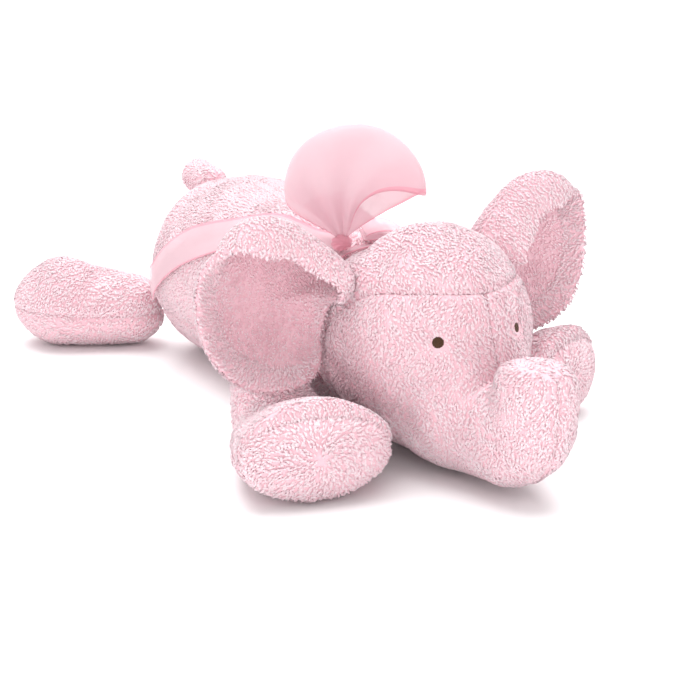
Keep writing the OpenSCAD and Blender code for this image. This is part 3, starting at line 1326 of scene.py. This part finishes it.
# Rim of the left ear every 24 degrees: outwards, up and over, down to the fold at the brow, and along the head
EAR_RIM = (
    (136.0, -72.0, 96.0), (133.0, -73.0, 119.0), (121.0, -74.0, 135.0),
    (104.0, -74.0, 142.0), (86.0, -75.0, 141.0), (69.0, -79.0, 131.0),
    (49.0, -89.0, 111.0), (56.0, -82.0, 93.0), (60.0, -76.0, 76.0),
    (60.0, -74.0, 60.0), (69.0, -75.0, 51.0), (86.0, -76.0, 48.0),
    (105.0, -76.0, 50.0), (122.0, -75.0, 60.0), (132.0, -73.0, 76.0),
)


def smooth(x: Array) -> Array:
    """Smooth step.

    Args:
        x: Values.

    Returns:
        0 below 0, 1 above 1 and a smooth rise between.
    """
    x = np.clip(x, 0, 1)
    return x * x * (3 - 2 * x)


def bump(a: Array, middle: float, width: float) -> Array:
    """Smooth bump round a circle.

    Args:
        a: Angles, degrees.
        middle: Angle of its top.
        width: Half width, degrees.

    Returns:
        From 0 to 1.
    """
    return np.exp(-(((a - middle + 180) % 360 - 180) / width) ** 2)


@dataclass
class Ear:
    """A cupped ear: pile outside and rolled over the rim, a smoother lining in the hollow."""

    side: Side
    lean: float
    rise: float
    head: BVHTree
    half: float = 3.0
    roll_radius: float = 8.0
    roll_drop: float = 7.0
    roll_start: float = 0.6

    @staticmethod
    def lining_edge(a: Array) -> Array:
        """Share from middle to rim at which the lining ends.

        Args:
            a: Angle round, degrees.

        Returns:
            The share: least under the rolled top and nearly 1 where the ear meets the head.
        """
        return 0.72 + 0.06 * bump(a, 105, 45) + 0.24 * bump(a, 198, 38) + 0.1 * bump(a, 258, 28)

    def middle(self, s: Array, a: Array) -> Array:
        """Point half way through the ear.

        Args:
            s: Share from the middle of the ear to its rim.
            a: Angle round, degrees, 0 outwards and 90 up.

        Returns:
            Points on the left ear's side, mm.
        """
        rim = np.array(EAR_RIM)
        n = len(rim)
        u = (a % 360) / 360 * n
        k = np.floor(u).astype(int)
        f = (u - k)[..., None]
        p0, p1, p2, p3 = (rim[(k + m) % n] for m in (-1, 0, 1, 2))
        edge = between(p0, p1, p2, p3, f)
        roll = smooth((a % 360 - 25) / 50) * smooth((170 - a % 360) / 18)
        radius = self.roll_radius * roll + 1e-6
        rolling = np.clip((s - self.roll_start) / (1 - self.roll_start), 0, 1)
        run = (math.pi * radius + self.roll_drop * roll) * rolling
        turn = np.minimum(run / radius, math.pi)
        reach = edge[..., (0, 2)] - np.array(EAR_MIDDLE)[[0, 2]]
        length = np.linalg.norm(reach, axis=-1)
        rolled = (length - radius) * np.minimum(s / self.roll_start, 1) + radius * np.sin(turn)
        rolled = rolled - np.maximum(run - math.pi * radius, 0)
        share = (roll * rolled / length + (1 - roll) * s)[..., None]
        curl = np.clip((s - 0.45) / 0.55, 0, 1) ** 1.5
        down = np.maximum(-np.sin(np.radians(a)), 0)
        p = np.empty(np.broadcast(s, a).shape + (3,))
        p[..., (0, 2)] = np.array(EAR_MIDDLE)[[0, 2]] + reach * share
        p[..., 1] = EAR_MIDDLE[1] + (EAR_PLANE - EAR_MIDDLE[1]) * s**2 + (edge[..., 1] - EAR_PLANE) * curl
        p[..., 1] -= radius * (1 - np.cos(turn)) + self.lean * (s * down) ** 2
        p[..., 2] += self.rise
        p[..., 1] += 1.0 * wander(p, 18, 7) * s
        return p

    def normal(self, s: Array, a: Array) -> Array:
        """Direction out of the back of the ear.

        Args:
            s: Share from middle to rim.
            a: Angle, degrees.

        Returns:
            Unit vectors.
        """
        s = np.clip(s, 0.02, 0.995)
        along = self.middle(s + 0.004, a) - self.middle(s - 0.004, a)
        across = self.middle(s, a + 0.5) - self.middle(s, a - 0.5)
        return unit(np.cross(across, along))

    def clear(self, p: Array, gap: float) -> Array:
        """Moves points of the ear out of the head.

        Args:
            p: Points on the left side.
            gap: Room to leave, mm.

        Returns:
            The points, moved where needed.
        """
        flip = np.array([self.side.value, 1, 1])
        out = (p * flip).reshape(-1, 3)
        for k in np.nonzero(np.abs(out[:, 0]) < 70)[0]:
            place, normal, _, distance = self.head.find_nearest(Vector(out[k]))
            if place is None or distance > 25:
                continue
            room = (Vector(out[k]) - place).dot(normal)
            if room < gap:
                out[k] += np.array(normal) * (gap - room)
        return out.reshape(p.shape) * flip

    def sheet(self, s: Array, a: Array, side: float) -> Array:
        """Point on a face of the ear.

        Args:
            s: Share from middle to rim.
            a: Angle, degrees.
            side: 1 on the back face, -1 on the front face, and less inside.

        Returns:
            Points, mm.
        """
        thick = self.half * (1 + 0.4 * bump(a, 105, 50) * s**2)
        swell = thick * np.sqrt(np.maximum(1 - s**6, 0)) * side
        return self.middle(s, a) + self.normal(s, a) * np.asarray(swell)[..., None]

    def outer(self, i: Array, j: Array, depth: float = 0.0) -> Array:
        """Point of the outer fleece, which wraps round the rim to the front.

        Args:
            i: Row share from the middle of the back to the edge on the front.
            j: Column share round the ear.
            depth: Depth under the surface.

        Returns:
            Points, mm.
        """
        k = i * (2 - self.lining_edge(360 * j))
        s = np.where(k <= 1, k, 2 - k)
        side = np.where(k <= 1, 1.0, -1.0) * (1 - depth / self.half)
        return self.sheet(s, 360 * j + 0 * i, side)

    def lining(self, i: Array, j: Array, depth: float = 0.0) -> Array:
        """Point of the lining on the front.

        Args:
            i: Row share from the middle to the edge.
            j: Column share round the ear.
            depth: Depth under the surface.

        Returns:
            Points, mm.
        """
        tucked = self.lining_edge(-360 * j) + 0.02
        return self.sheet(i * tucked, -360 * j + 0 * i, -1.0 + (0.12 + depth) / self.half)

    def settled(self, surface: Callable[..., Array], depth: float) -> Surface:
        """Surface of the ear where it lies clear of the head.

        Args:
            surface: Surface of the ear alone.
            depth: Depth under it, mm.

        Returns:
            The surface, smooth between the points of a close grid.
        """
        rows, cols = 96, 192
        i, j = np.meshgrid(np.arange(rows + 1) / rows, np.arange(cols) / cols, indexing="ij")
        grid = self.clear(surface(i, j, depth), 0.6)

        def at(i: Array, j: Array) -> Array:
            """Point of the surface.

            Args:
                i: Row shares.
                j: Column shares.

            Returns:
                Points, mm.
            """

            u, v = np.clip(i, 0, 1) * rows, (j % 1) * cols
            m, n = np.minimum(u.astype(int), rows - 1), v.astype(int) % cols
            f, g = (u - m)[..., None], (v - np.floor(v))[..., None]
            near = grid[m, n] * (1 - g) + grid[m, (n + 1) % cols] * g
            far = grid[m + 1, n] * (1 - g) + grid[m + 1, (n + 1) % cols] * g
            return near * (1 - f) + far * f

        return at

    def build(self) -> list[bpy.types.Object]:
        """Makes the outer fleece, the lining and their pile.

        Returns:
            The pieces.
        """
        placing = Placing(mirrored=self.side is Side.RIGHT)
        name = f"ear_{self.side.word}"
        made = []
        fleece = Pile(length=3.2, lift=0.26, along=0.7, down=0.6, swirl=0.6)
        short = Pile(length=2.6, width=1.2, spacing=1.4, lift=0.35, finishes=LINING_PILE, along=0.4, down=1.0)
        jobs = (
            ("outer", self.outer, BACKING, "fleece", fleece, (72, 150)),
            ("lining", self.lining, LINING, "ear_lining", short, (40, 120)),
        )
        for seed, (part, surface, finish, slot, pile, cells) in enumerate(jobs):
            net = Net(*cells, start_pole=True, round=True)
            i, j = net.grid()
            cloth = [self.settled(surface, depth) for depth in (0.0, 1.2)]
            layers = [placing.points(at(i, j)) for at in cloth]
            loops, sizes = net.faces(turned=not placing.mirrored)
            obj = new_object(f"{name}_{part}_skin", np.concatenate(layers), loops, sizes, [finish])

            def keep(p: Array, n: Array, i: Array, j: Array, part: str = part) -> Array:
                """Length share of each tuft.

                Args:
                    p: Points of the tufts.
                    n: Their normals.
                    i: Row shares.
                    j: Column shares.
                    part: Part of the ear.

                Returns:
                    The shares, 0 where no tuft stands.
                """

                share = np.ones(len(p))
                if part == "lining":
                    share = np.clip(0.55 + i, 0, 1)
                return share * self.outside(p)

            # Painted shade: on the lining the light tips thin out towards the middle, so the cupped hollow of the ear
            # is darker in its depth.
            shade = (lambda i, j: 0.2 + 0.6 * i**3) if part == "lining" else None
            fine = (net.rows * 2, net.cols * 2)
            first = 60 + seed + self.side.value
            hair = pile.grow(f"{name}_{part}_pile", cloth[0], placing, fine, first, keep, shade)
            for piece in (obj, hair):
                start, end = ((self.side.value * x * MM, -0.072, 0.09) for x in EAR_BEND)
                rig.blend(piece, Body.HEAD.value, name, start=start, end=end)
                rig.slot(piece, slot)
            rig.replaces(obj, f"{name}_{part}")
            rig.padded(obj, fill=0.35)
            made += [obj, hair]
        return made

    def outside(self, p: Array) -> Array:
        """Drops tufts that would stand in the head.

        Args:
            p: Points of tufts in the row frame.

        Returns:
            1 outside the head and 0 inside it.
        """
        share = np.ones(len(p))
        for k in np.nonzero(np.abs(p[:, 0]) < 68)[0]:
            place, normal, _, distance = self.head.find_nearest(Vector(p[k]))
            if place is not None and distance < 25 and (Vector(p[k]) - place).dot(normal) < 0.8:
                share[k] = 0
        return share


# ---- Legs and tail ----

LEG_ROOT_R = 24.0
SOLE_S = 0.8


def sole_seam(a: Array) -> Array:
    """Place of the seam round a sole, which runs further forward over the toes.

    Args:
        a: Angle round the leg, degrees.

    Returns:
        Share from pole to pole.
    """
    return SOLE_S + 0.08 * np.maximum(np.sin(np.radians(a)), 0)


def front_leg(back: float, half_w: float) -> Form:
    """Form of a front leg.

    Args:
        back: How much shorter it lies, mm.
        half_w: Half width of the paw, mm.

    Returns:
        The form, with its shoulder at the origin.
    """
    return Form(
        rows=(
            (0.0, LEG_ROOT_R, 0.0, -LEG_ROOT_R - 3, LEG_ROOT_R, 0.5),
            (0.2 * back - 32, 14.0, 0.2 * back - 32, -29.0, 31.0, 0.5),
            (0.45 * back - 60, 15.0, 0.45 * back - 60, -29.0, half_w - 9, 0.48),
            (0.8 * back - 90, 28.0, 0.8 * back - 90, -29.0, half_w - 2, 0.48),
            (back - 110, 34.0, back - 110, -27.0, half_w, 0.48),
        ),
        first_cap=LEG_ROOT_R,
        last_cap=14.0,
        share=0.22,
        floor=-27.0,
    )


HIND_LEG = Form(
    rows=(
        (0.0, LEG_ROOT_R, 0.0, -LEG_ROOT_R - 3, LEG_ROOT_R, 0.5),
        (-22.0, 28.0, -22.0, -29.0, 28.0, 0.48),
        (-46.0, 34.0, -46.0, -29.0, 33.0, 0.48),
    ),
    first_cap=LEG_ROOT_R,
    last_cap=37.0,
    share=0.3,
    floor=-27.0,
)
TAIL = Form(
    rows=(
        (0.0, 12.0, 0.0, -12.0, 12.0, 0.5),
        (-14.0, 12.5, -14.0, -12.5, 12.5, 0.5),
        (-20.0, 13.0, -20.0, -13.0, 13.0, 0.5),
    ),
    first_cap=12.0,
    last_cap=10.0,
    share=0.3,
    floor=-200.0,
)


@dataclass
class Limb:
    """A leg of two long panels, with a round sole where it has one."""

    name: str
    form: Form
    placing: Placing
    sole: bool
    seed: int

    def build(self) -> list[bpy.types.Object]:
        """Makes the panels.

        Returns:
            The pieces.
        """
        end = SOLE_S if self.sole else 0.99
        s = np.linspace(0.01, end, 200)
        a = np.linspace(0, 360, 240)
        lines = [self.form.point(s, 0 * s + angle, 1.9) for angle in (0.0, 180.0)]
        if self.sole:
            lines.append(self.form.point(sole_seam(a), a, 1.9))
        seams = tuple(Seam(line, depth=1.3 if k < 2 else 1.1) for k, line in enumerate(lines))
        skin = Skin(self.form, seams, seed=self.seed, lump=0.8)
        placed = [self.placing.points(line) for line in lines]

        def keep(p: Array, n: Array, i: Array, j: Array) -> Array:
            """Length share of each tuft.

            Args:
                p: Points of the tufts.
                n: Their normals.
                i: Row shares.
                j: Column shares.

            Returns:
                The shares, 0 where no tuft stands.
            """

            share = near_edge(p, placed, 0.4, 2.6)
            return thin_below(2.0, p, i, share)

        made = []
        for part, a0, a1 in (("upper", 0.0, 180.0), ("under", 180.0, 360.0)):
            def a_at(i: Array, j: Array, a0: float = a0, a1: float = a1) -> Array:
                """Angle round the form.

                Args:
                    i: Row shares.
                    j: Column shares.
                    a0: Angle of the first column.
                    a1: Angle of the last column.

                Returns:
                    Degrees.
                """

                return a0 + 0.2 + (a1 - a0 - 0.4) * j + 0 * i

            def s_at(i: Array, j: Array, a_at: Surface = a_at) -> Array:
                """Place from pole to pole.

                Args:
                    i: Row shares.
                    j: Column shares.
                    a_at: Angle at the same place.

                Returns:
                    Shares.
                """

                return i * (sole_seam(a_at(i, j)) - 0.0015) if self.sole else i + 0 * j

            made += Panel(
                name=f"{self.name}_{part}",
                skin=skin,
                net=Net(84, 60, start_pole=True, end_pole=not self.sole),
                s_at=s_at,
                a_at=a_at,
                placing=self.placing,
                body=self.name,
                nodes=(f"{self.name}_{part}",),
                pile=Pile(along=0.7, down=0.8) if part == "upper" else Pile(along=0.7, down=0.3, spacing=1.9),
                keep=keep,
                seed=self.seed + (5 if part == "under" else 0),
            ).build()
        if self.sole:
            made += Panel(
                name=f"{self.name}_sole",
                skin=skin,
                net=Net(40, 130, end_pole=True, round=True),
                s_at=lambda i, j: (sole_seam(360 * j) + 0.0015) * (1 - i) + i,
                a_at=lambda i, j: 360 * j + 0 * i,
                placing=self.placing,
                body=self.name,
                nodes=(f"{self.name}_sole",),
                pile=Pile(length=3.8, along=-1.0, down=0.15, swirl=0.9),
                keep=keep,
                seed=self.seed + 9,
            ).build()
        return made


@dataclass
class Tail:
    """The stub tail: one fleece tube, closed at its tip."""

    at: tuple[float, float, float]
    tuck: float = 3.6

    def build(self) -> list[bpy.types.Object]:
        """Makes the tail.

        Returns:
            The pieces.
        """
        x, y, z = self.at
        return Panel(
            name="tail",
            skin=Skin(TAIL, (), seed=9, lump=0.4),
            net=Net(48, 64, start_pole=True, end_pole=True, round=True),
            s_at=lambda i, j: 0.06 + 0.94 * i + 0 * j,
            a_at=lambda i, j: 360 * j + 0 * i,
            placing=Placing(at=(x, y - self.tuck, z - self.tuck / 3), turn=180.0),
            body=Body.TAIL.value,
            nodes=("tail_skin",),
            pile=Pile(length=3.4, along=0.8, down=0.3),
            seed=91,
        ).build()


# ---- Ribbon ----


@dataclass
class Ribbon:
    """The organza ribbon: a band, a knot, two loops and two ends."""

    knot: Array
    flat_width: float = 72.0
    cloth: float = 0.5
    loop_turn: float = -32.0

    def strip(
        self, name: str, at: Surface, cells: tuple[int, int], width: float, held: str, under: str
    ) -> bpy.types.Object:
        """Makes one strip of ribbon with a woven edge along both sides.

        Args:
            name: Name of the CAD node that it replaces.
            at: Middle of the cloth by row share along the strip and column share across it.
            cells: Rows along the strip and columns across it.
            width: Width that it was cut to, mm.
            under: Piece that it lies on.

        Returns:
            The piece.
        """
        net = Net(*cells)
        i, j = net.grid()
        p, n = at(i, j), normals_of(at, i, j)
        layers = np.concatenate([p + n * self.cloth / 2, p - n * self.cloth / 2])
        loops, sizes = net.faces(turned=True)
        starts = np.concatenate([[0], np.cumsum(sizes)[:-1]])
        across = np.tile(j, 2)[loops[starts]]
        edge = (across < 1.01 / net.cols) | (across > 1 - 1.99 / net.cols)
        obj = new_object(f"{name}_organza", layers, loops, sizes, [RIBBON, SELVAGE], edge.astype(int))
        line = at(np.linspace(0, 1, 200), np.full(200, 0.5))
        length = float(np.linalg.norm(np.diff(line, axis=0), axis=1).sum())
        uv = obj.data.uv_layers.new(name="UVMap")
        place = np.stack([np.tile(j, 2)[loops] * width * MM, np.tile(i, 2)[loops] * length * MM], axis=1)
        uv.data.foreach_set("uv", place.astype(np.float32).ravel())
        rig.ride(obj, Body.TORSO.value)
        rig.replaces(obj, name)
        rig.slot(obj, "ribbon")
        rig.sheet(obj, flat=(width * MM, length * MM), held=held, rests_on=[under])
        LOG.info("%s: %.0f x %.0f mm", obj.name, width, length)
        return obj

    def standing(self, i: Array, j: Array) -> Array:
        """Point of the standing loop: up from the knot, over, and down behind.

        Args:
            i: Share along the loop.
            j: Share across it, from its left edge to its right.

        Returns:
            Points, mm.
        """
        path = np.pi * (2 * i)
        rise = (1 - np.cos(path)) / 2
        front = np.sin(path)
        top_angle = -53 + 113 * j
        reach = 40 + 109 * j - 91 * j * j
        swing = (-30 * np.maximum(front, 0) + 8 * np.maximum(-front, 0)) * (0.15 + 0.85 * j**2) * (1 - rise**3)
        angle = np.radians(top_angle * (0.75 + 0.25 * rise) + swing)
        r = 5 + (reach - 5) * rise
        pleat = 2.2 * np.sin(2 * np.pi * 2.6 * j + 0.8) * np.minimum(r / 30, 1) * (0.75 + 0.25 * (1 - rise))
        open_by = 13 * np.minimum(r / 34, 1) * np.sign(front) * np.abs(front) ** 0.8
        depth = open_by + pleat + 3 * rise * np.sin(np.pi * j)
        local = np.stack([r * np.sin(angle), -depth, r * np.cos(angle)], axis=-1)
        return Placing(turn=self.loop_turn).vectors(local) + self.knot

    def lying(self, i: Array, j: Array) -> Array:
        """Point of the loop that lies over the left shoulder.

        Args:
            i: Share along the loop.
            j: Share across it.

        Returns:
            Points, mm.
        """
        path = np.radians(24 + 312 * i)
        r = (1 - np.cos(path)) / 2
        lift = 6.2 + 3.6 * np.sin(path) + 0.7 * np.sin(9 * j + 2) * r
        return TORSO.point(0.74 - 0.1 * r + (j - 0.5) * (0.04 + 0.1 * r), 92 - 60 * r, -lift)

    def band(self, i: Array, j: Array) -> Array:
        """Point of the gathered band round the neck.

        Args:
            i: Share round the neck.
            j: Share across the band.

        Returns:
            Points, mm.
        """
        a = 2 * np.pi * i
        r = 44.8 + 0.7 * np.sin(5 * np.pi * j + 0.6 * np.sin(3 * a))
        return np.stack([r * np.cos(a), -29 + 7 * (0.5 - j), 62 + r * np.sin(a)], axis=-1)

    @staticmethod
    def end(s: tuple[float, float], a: tuple[float, float], width: float) -> Surface:
        """Surface of a ribbon end that lies on the torso.

        Args:
            s: Places on the torso at its two ends.
            a: Angles on the torso at its two ends.
            width: Angle that it covers.

        Returns:
            The surface.
        """

        def at(i: Array, j: Array) -> Array:
            """Point of the surface.

            Args:
                i: Row shares.
                j: Column shares.

            Returns:
                Points, mm.
            """

            middle = a[0] + (a[1] - a[0]) * i * i
            narrow = 0.45 + 0.55 * np.minimum(i / 0.2, 1)
            lift = 1.9 + 0.45 * np.sin(7 * np.pi * i + 3 * j) + 0.3 * np.sin(4 * np.pi * j) * (1 - i)
            return TORSO.point(s[0] + (s[1] - s[0]) * i, middle + (0.5 - j) * width * narrow, -lift)

        return at

    def build(self) -> list[bpy.types.Object]:
        """Makes every strip and the knot.

        Returns:
            The pieces.
        """
        back, knot = "torso_back_skin", "ribbon_knot_organza"
        right = self.end((0.78, 0.19), (110, 182), 22)
        left = self.end((0.78, 0.5), (74, 30), 22)
        made = [
            self.strip("ribbon_band", self.band, (160, 12), 12.0, "gathered", back),
            self.strip("ribbon_loop_standing", self.standing, (120, 60), self.flat_width, "gathered", knot),
            self.strip("ribbon_loop_lying", self.lying, (70, 30), 16.0, "gathered", back),
            self.strip("ribbon_tail_right", right, (110, 24), 26.0, "laid", back),
            self.strip("ribbon_tail_left", left, (60, 24), 20.0, "laid", back),
        ]
        made.append(self.knot_piece())
        return made

    def knot_piece(self) -> bpy.types.Object:
        """Makes the tight gathered knot.

        Returns:
            The piece.
        """
        net = Net(28, 48, start_pole=True, end_pole=True, round=True)
        i, j = net.grid()

        def at(i: Array, j: Array, scale: float) -> Array:
            """Point of the surface.

            Args:
                i: Row shares.
                j: Column shares.
                scale: Size, 1 on the outside.

            Returns:
                Points, mm.
            """

            th, ph = np.pi * i, 2 * np.pi * j
            r = scale * (1 + 0.07 * np.sin(9 * ph + 3 * th) * np.sin(th))
            across, up = np.cos(ph) * np.sin(th), np.sin(ph) * np.sin(th)
            return np.stack([6.5 * r * across, 5 * r * np.cos(th), 5 * r * up], axis=-1) + self.knot

        loops, sizes = net.faces(turned=True)
        layers = np.concatenate([at(i, j, 1.0), at(i, j, 0.9)])
        obj = new_object("ribbon_knot_organza", layers, loops, sizes, [SELVAGE])
        obj.data.uv_layers.new(name="UVMap")
        place = np.stack([np.tile(j, 2)[loops] * 36 * MM, np.tile(i, 2)[loops] * 16 * MM], axis=1)
        obj.data.uv_layers["UVMap"].data.foreach_set("uv", place.astype(np.float32).ravel())
        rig.ride(obj, Body.TORSO.value)
        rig.replaces(obj, "ribbon_knot")
        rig.slot(obj, "ribbon")
        return obj


# ---- Scene ----


@dataclass
class Studio:
    """White floor and soft light, with the camera in front and to the elephant's right."""

    azimuth: float = -32.3
    elevation: float = 17.9
    distance: float = 1010.0
    lens: float = 89.8
    target: tuple[float, float, float] = (-37.5, -72.4, 60.0)

    def build(self) -> None:
        """Makes the floor, the lights and the camera."""
        scene = bpy.context.scene
        a, e = math.radians(self.azimuth), math.radians(self.elevation)
        back = Vector((math.sin(a) * math.cos(e), -math.cos(a) * math.cos(e), math.sin(e)))
        camera_data = bpy.data.cameras.new("camera")
        camera_data.lens = self.lens
        camera_data.sensor_width = 36.0
        camera = bpy.data.objects.new("camera", camera_data)
        camera.location = (Vector(self.target) + back * self.distance) * MM
        camera.rotation_euler = back.to_track_quat("Z", "Y").to_euler()
        scene.collection.objects.link(camera)
        scene.camera = camera
        bpy.ops.mesh.primitive_plane_add(size=40.0, location=(0, 0, 0))
        floor = bpy.context.object
        floor.name = "floor"
        floor.data.materials.append(Finish("floor_paper", Colour.FLOOR, roughness=0.9, sheen=0.0).material())
        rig.stage(floor)
        world = bpy.data.worlds.new("studio")
        scene.world = world
        world.use_nodes = True
        world.node_tree.nodes["Background"].inputs["Color"].default_value = (1.0, 0.985, 0.99, 1.0)
        world.node_tree.nodes["Background"].inputs["Strength"].default_value = 0.78
        self.sun((0.1, 0.25, 1.0), 2.8)
        self.light("fill", (-0.9, -1.1, 0.9), 1.4, 4.0, (0.0, -0.05, 0.05))
        scene.view_settings.view_transform = "Standard"

    @staticmethod
    def sun(way: tuple[float, float, float], strength: float) -> None:
        """Makes the wide overhead light, which is even over the whole floor.

        Args:
            way: Direction towards the light.
            strength: Strength on a surface that faces it, watts per square metre.
        """
        data = bpy.data.lights.new("overhead", "SUN")
        data.energy = strength
        data.angle = math.radians(60)
        obj = bpy.data.objects.new("overhead", data)
        obj.rotation_euler = Vector(way).to_track_quat("Z", "Y").to_euler()
        bpy.context.scene.collection.objects.link(obj)

    @staticmethod
    def light(
        name: str, at: tuple[float, float, float], size: float, power: float, to: tuple[float, float, float]
    ) -> None:
        """Makes one square area light.

        Args:
            name: Name of the light.
            at: Place, metres.
            size: Side, metres.
            power: Power, watts.
            to: Point that it faces, metres.
        """
        data = bpy.data.lights.new(name, "AREA")
        data.size = size
        data.energy = power
        obj = bpy.data.objects.new(name, data)
        obj.location = at
        obj.rotation_euler = (Vector(at) - Vector(to)).to_track_quat("Z", "Y").to_euler()
        bpy.context.scene.collection.objects.link(obj)


def write_size(when: str) -> None:
    """Writes the size of the whole object.

    Args:
        when: "cad" for the frame alone, "visual" for the finished model.
    """
    sizes = json.loads(SIZE_FILE.read_text()) if when != "cad" and SIZE_FILE.exists() else {}
    low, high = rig.bounds()
    sizes[when] = [[float(v) for v in low], [float(v) for v in high]]
    SIZE_FILE.write_text(json.dumps(sizes))


def joint_places(frame: dict[str, object]) -> dict[str, tuple[float, float, float]]:
    """Places of the joints, mm.


    Returns:
        Place by the name of the child body.
    """
    places = {}
    for joint in frame["joints"]:
        x, y, z = (float(v) / MM for v in joint["pos_m"])
        places[joint["child"]] = (x, y, z)
    return places


def head_surface(made: Sequence[bpy.types.Object]) -> BVHTree:
    """Finds the outside of the head, which the ears lie against.

    Args:
        made: Pieces made so far.

    Returns:
        The outside layer of the head's skins, in mm.
    """
    points, faces = [], []
    for obj in made:
        if obj.name.startswith("head") and obj.name.endswith("_skin"):
            base = len(points)
            half = len(obj.data.vertices) // 2
            points += [v.co / MM for v in obj.data.vertices[:half]]
            faces += [[base + v for v in f.vertices] for f in obj.data.polygons if max(f.vertices) < half]
    return BVHTree.FromPolygons(points, faces)


# Each ear: side, how far its lower rim leans forward and how much higher it sits, mm
EARS = ((Side.RIGHT, 12.0, 0.0), (Side.LEFT, 0.0, 4.0))
# Each front leg: side, how far it is drawn back, half width of its paw, mm, and its turn outwards, degrees
FRONT_LEGS = ((Side.RIGHT, 0.0, 46.0, 16.0), (Side.LEFT, 32.0, 40.0, 21.0))
HIND_TURN = 128.0


def main() -> None:
    """Builds the elephant sub-assembly by sub-assembly."""
    logging.basicConfig(level=logging.INFO, format="%(name)s: %(message)s")
    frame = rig.load()
    write_size("cad")
    Studio().build()
    joints = joint_places(frame)
    for name, node in frame["nodes"].items():
        if name.endswith("filling"):
            node.data.materials.clear()
            node.data.materials.append(FILLING.material())
    made = Torso().build()
    head = Head()
    made += head.build()
    for side in Side:
        made += Eye(side).build()
    surface = head_surface(made)
    for side, lean, rise in EARS:
        made += Ear(side, lean=lean, rise=rise, head=surface).build()
    for side, back, half_w, splay in FRONT_LEGS:
        x, y, z = joints[f"front_leg_{side.word}"]
        place = Placing(at=(abs(x), y, z), turn=splay, mirrored=side is Side.RIGHT)
        form = front_leg(back, half_w)
        made += Limb(f"front_leg_{side.word}", form, place, sole=True, seed=100 + side.value).build()
    for side in Side:
        x, y, z = joints[f"hind_leg_{side.word}"]
        place = Placing(at=(abs(x), y, z), turn=HIND_TURN, mirrored=side is Side.RIGHT)
        made += Limb(f"hind_leg_{side.word}", HIND_LEG, place, sole=False, seed=130 + side.value).build()
    made += Tail(joints["tail"]).build()
    low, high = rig.box("ribbon_knot")
    knot = np.array([(low[k] + high[k]) / 2 / MM for k in range(3)])
    made += Ribbon(knot).build()
    for obj in made:
        LOG.info("%s: %d faces", obj.name, len(obj.data.polygons))
    write_size("visual")


if __name__ == "__main__":
    main()
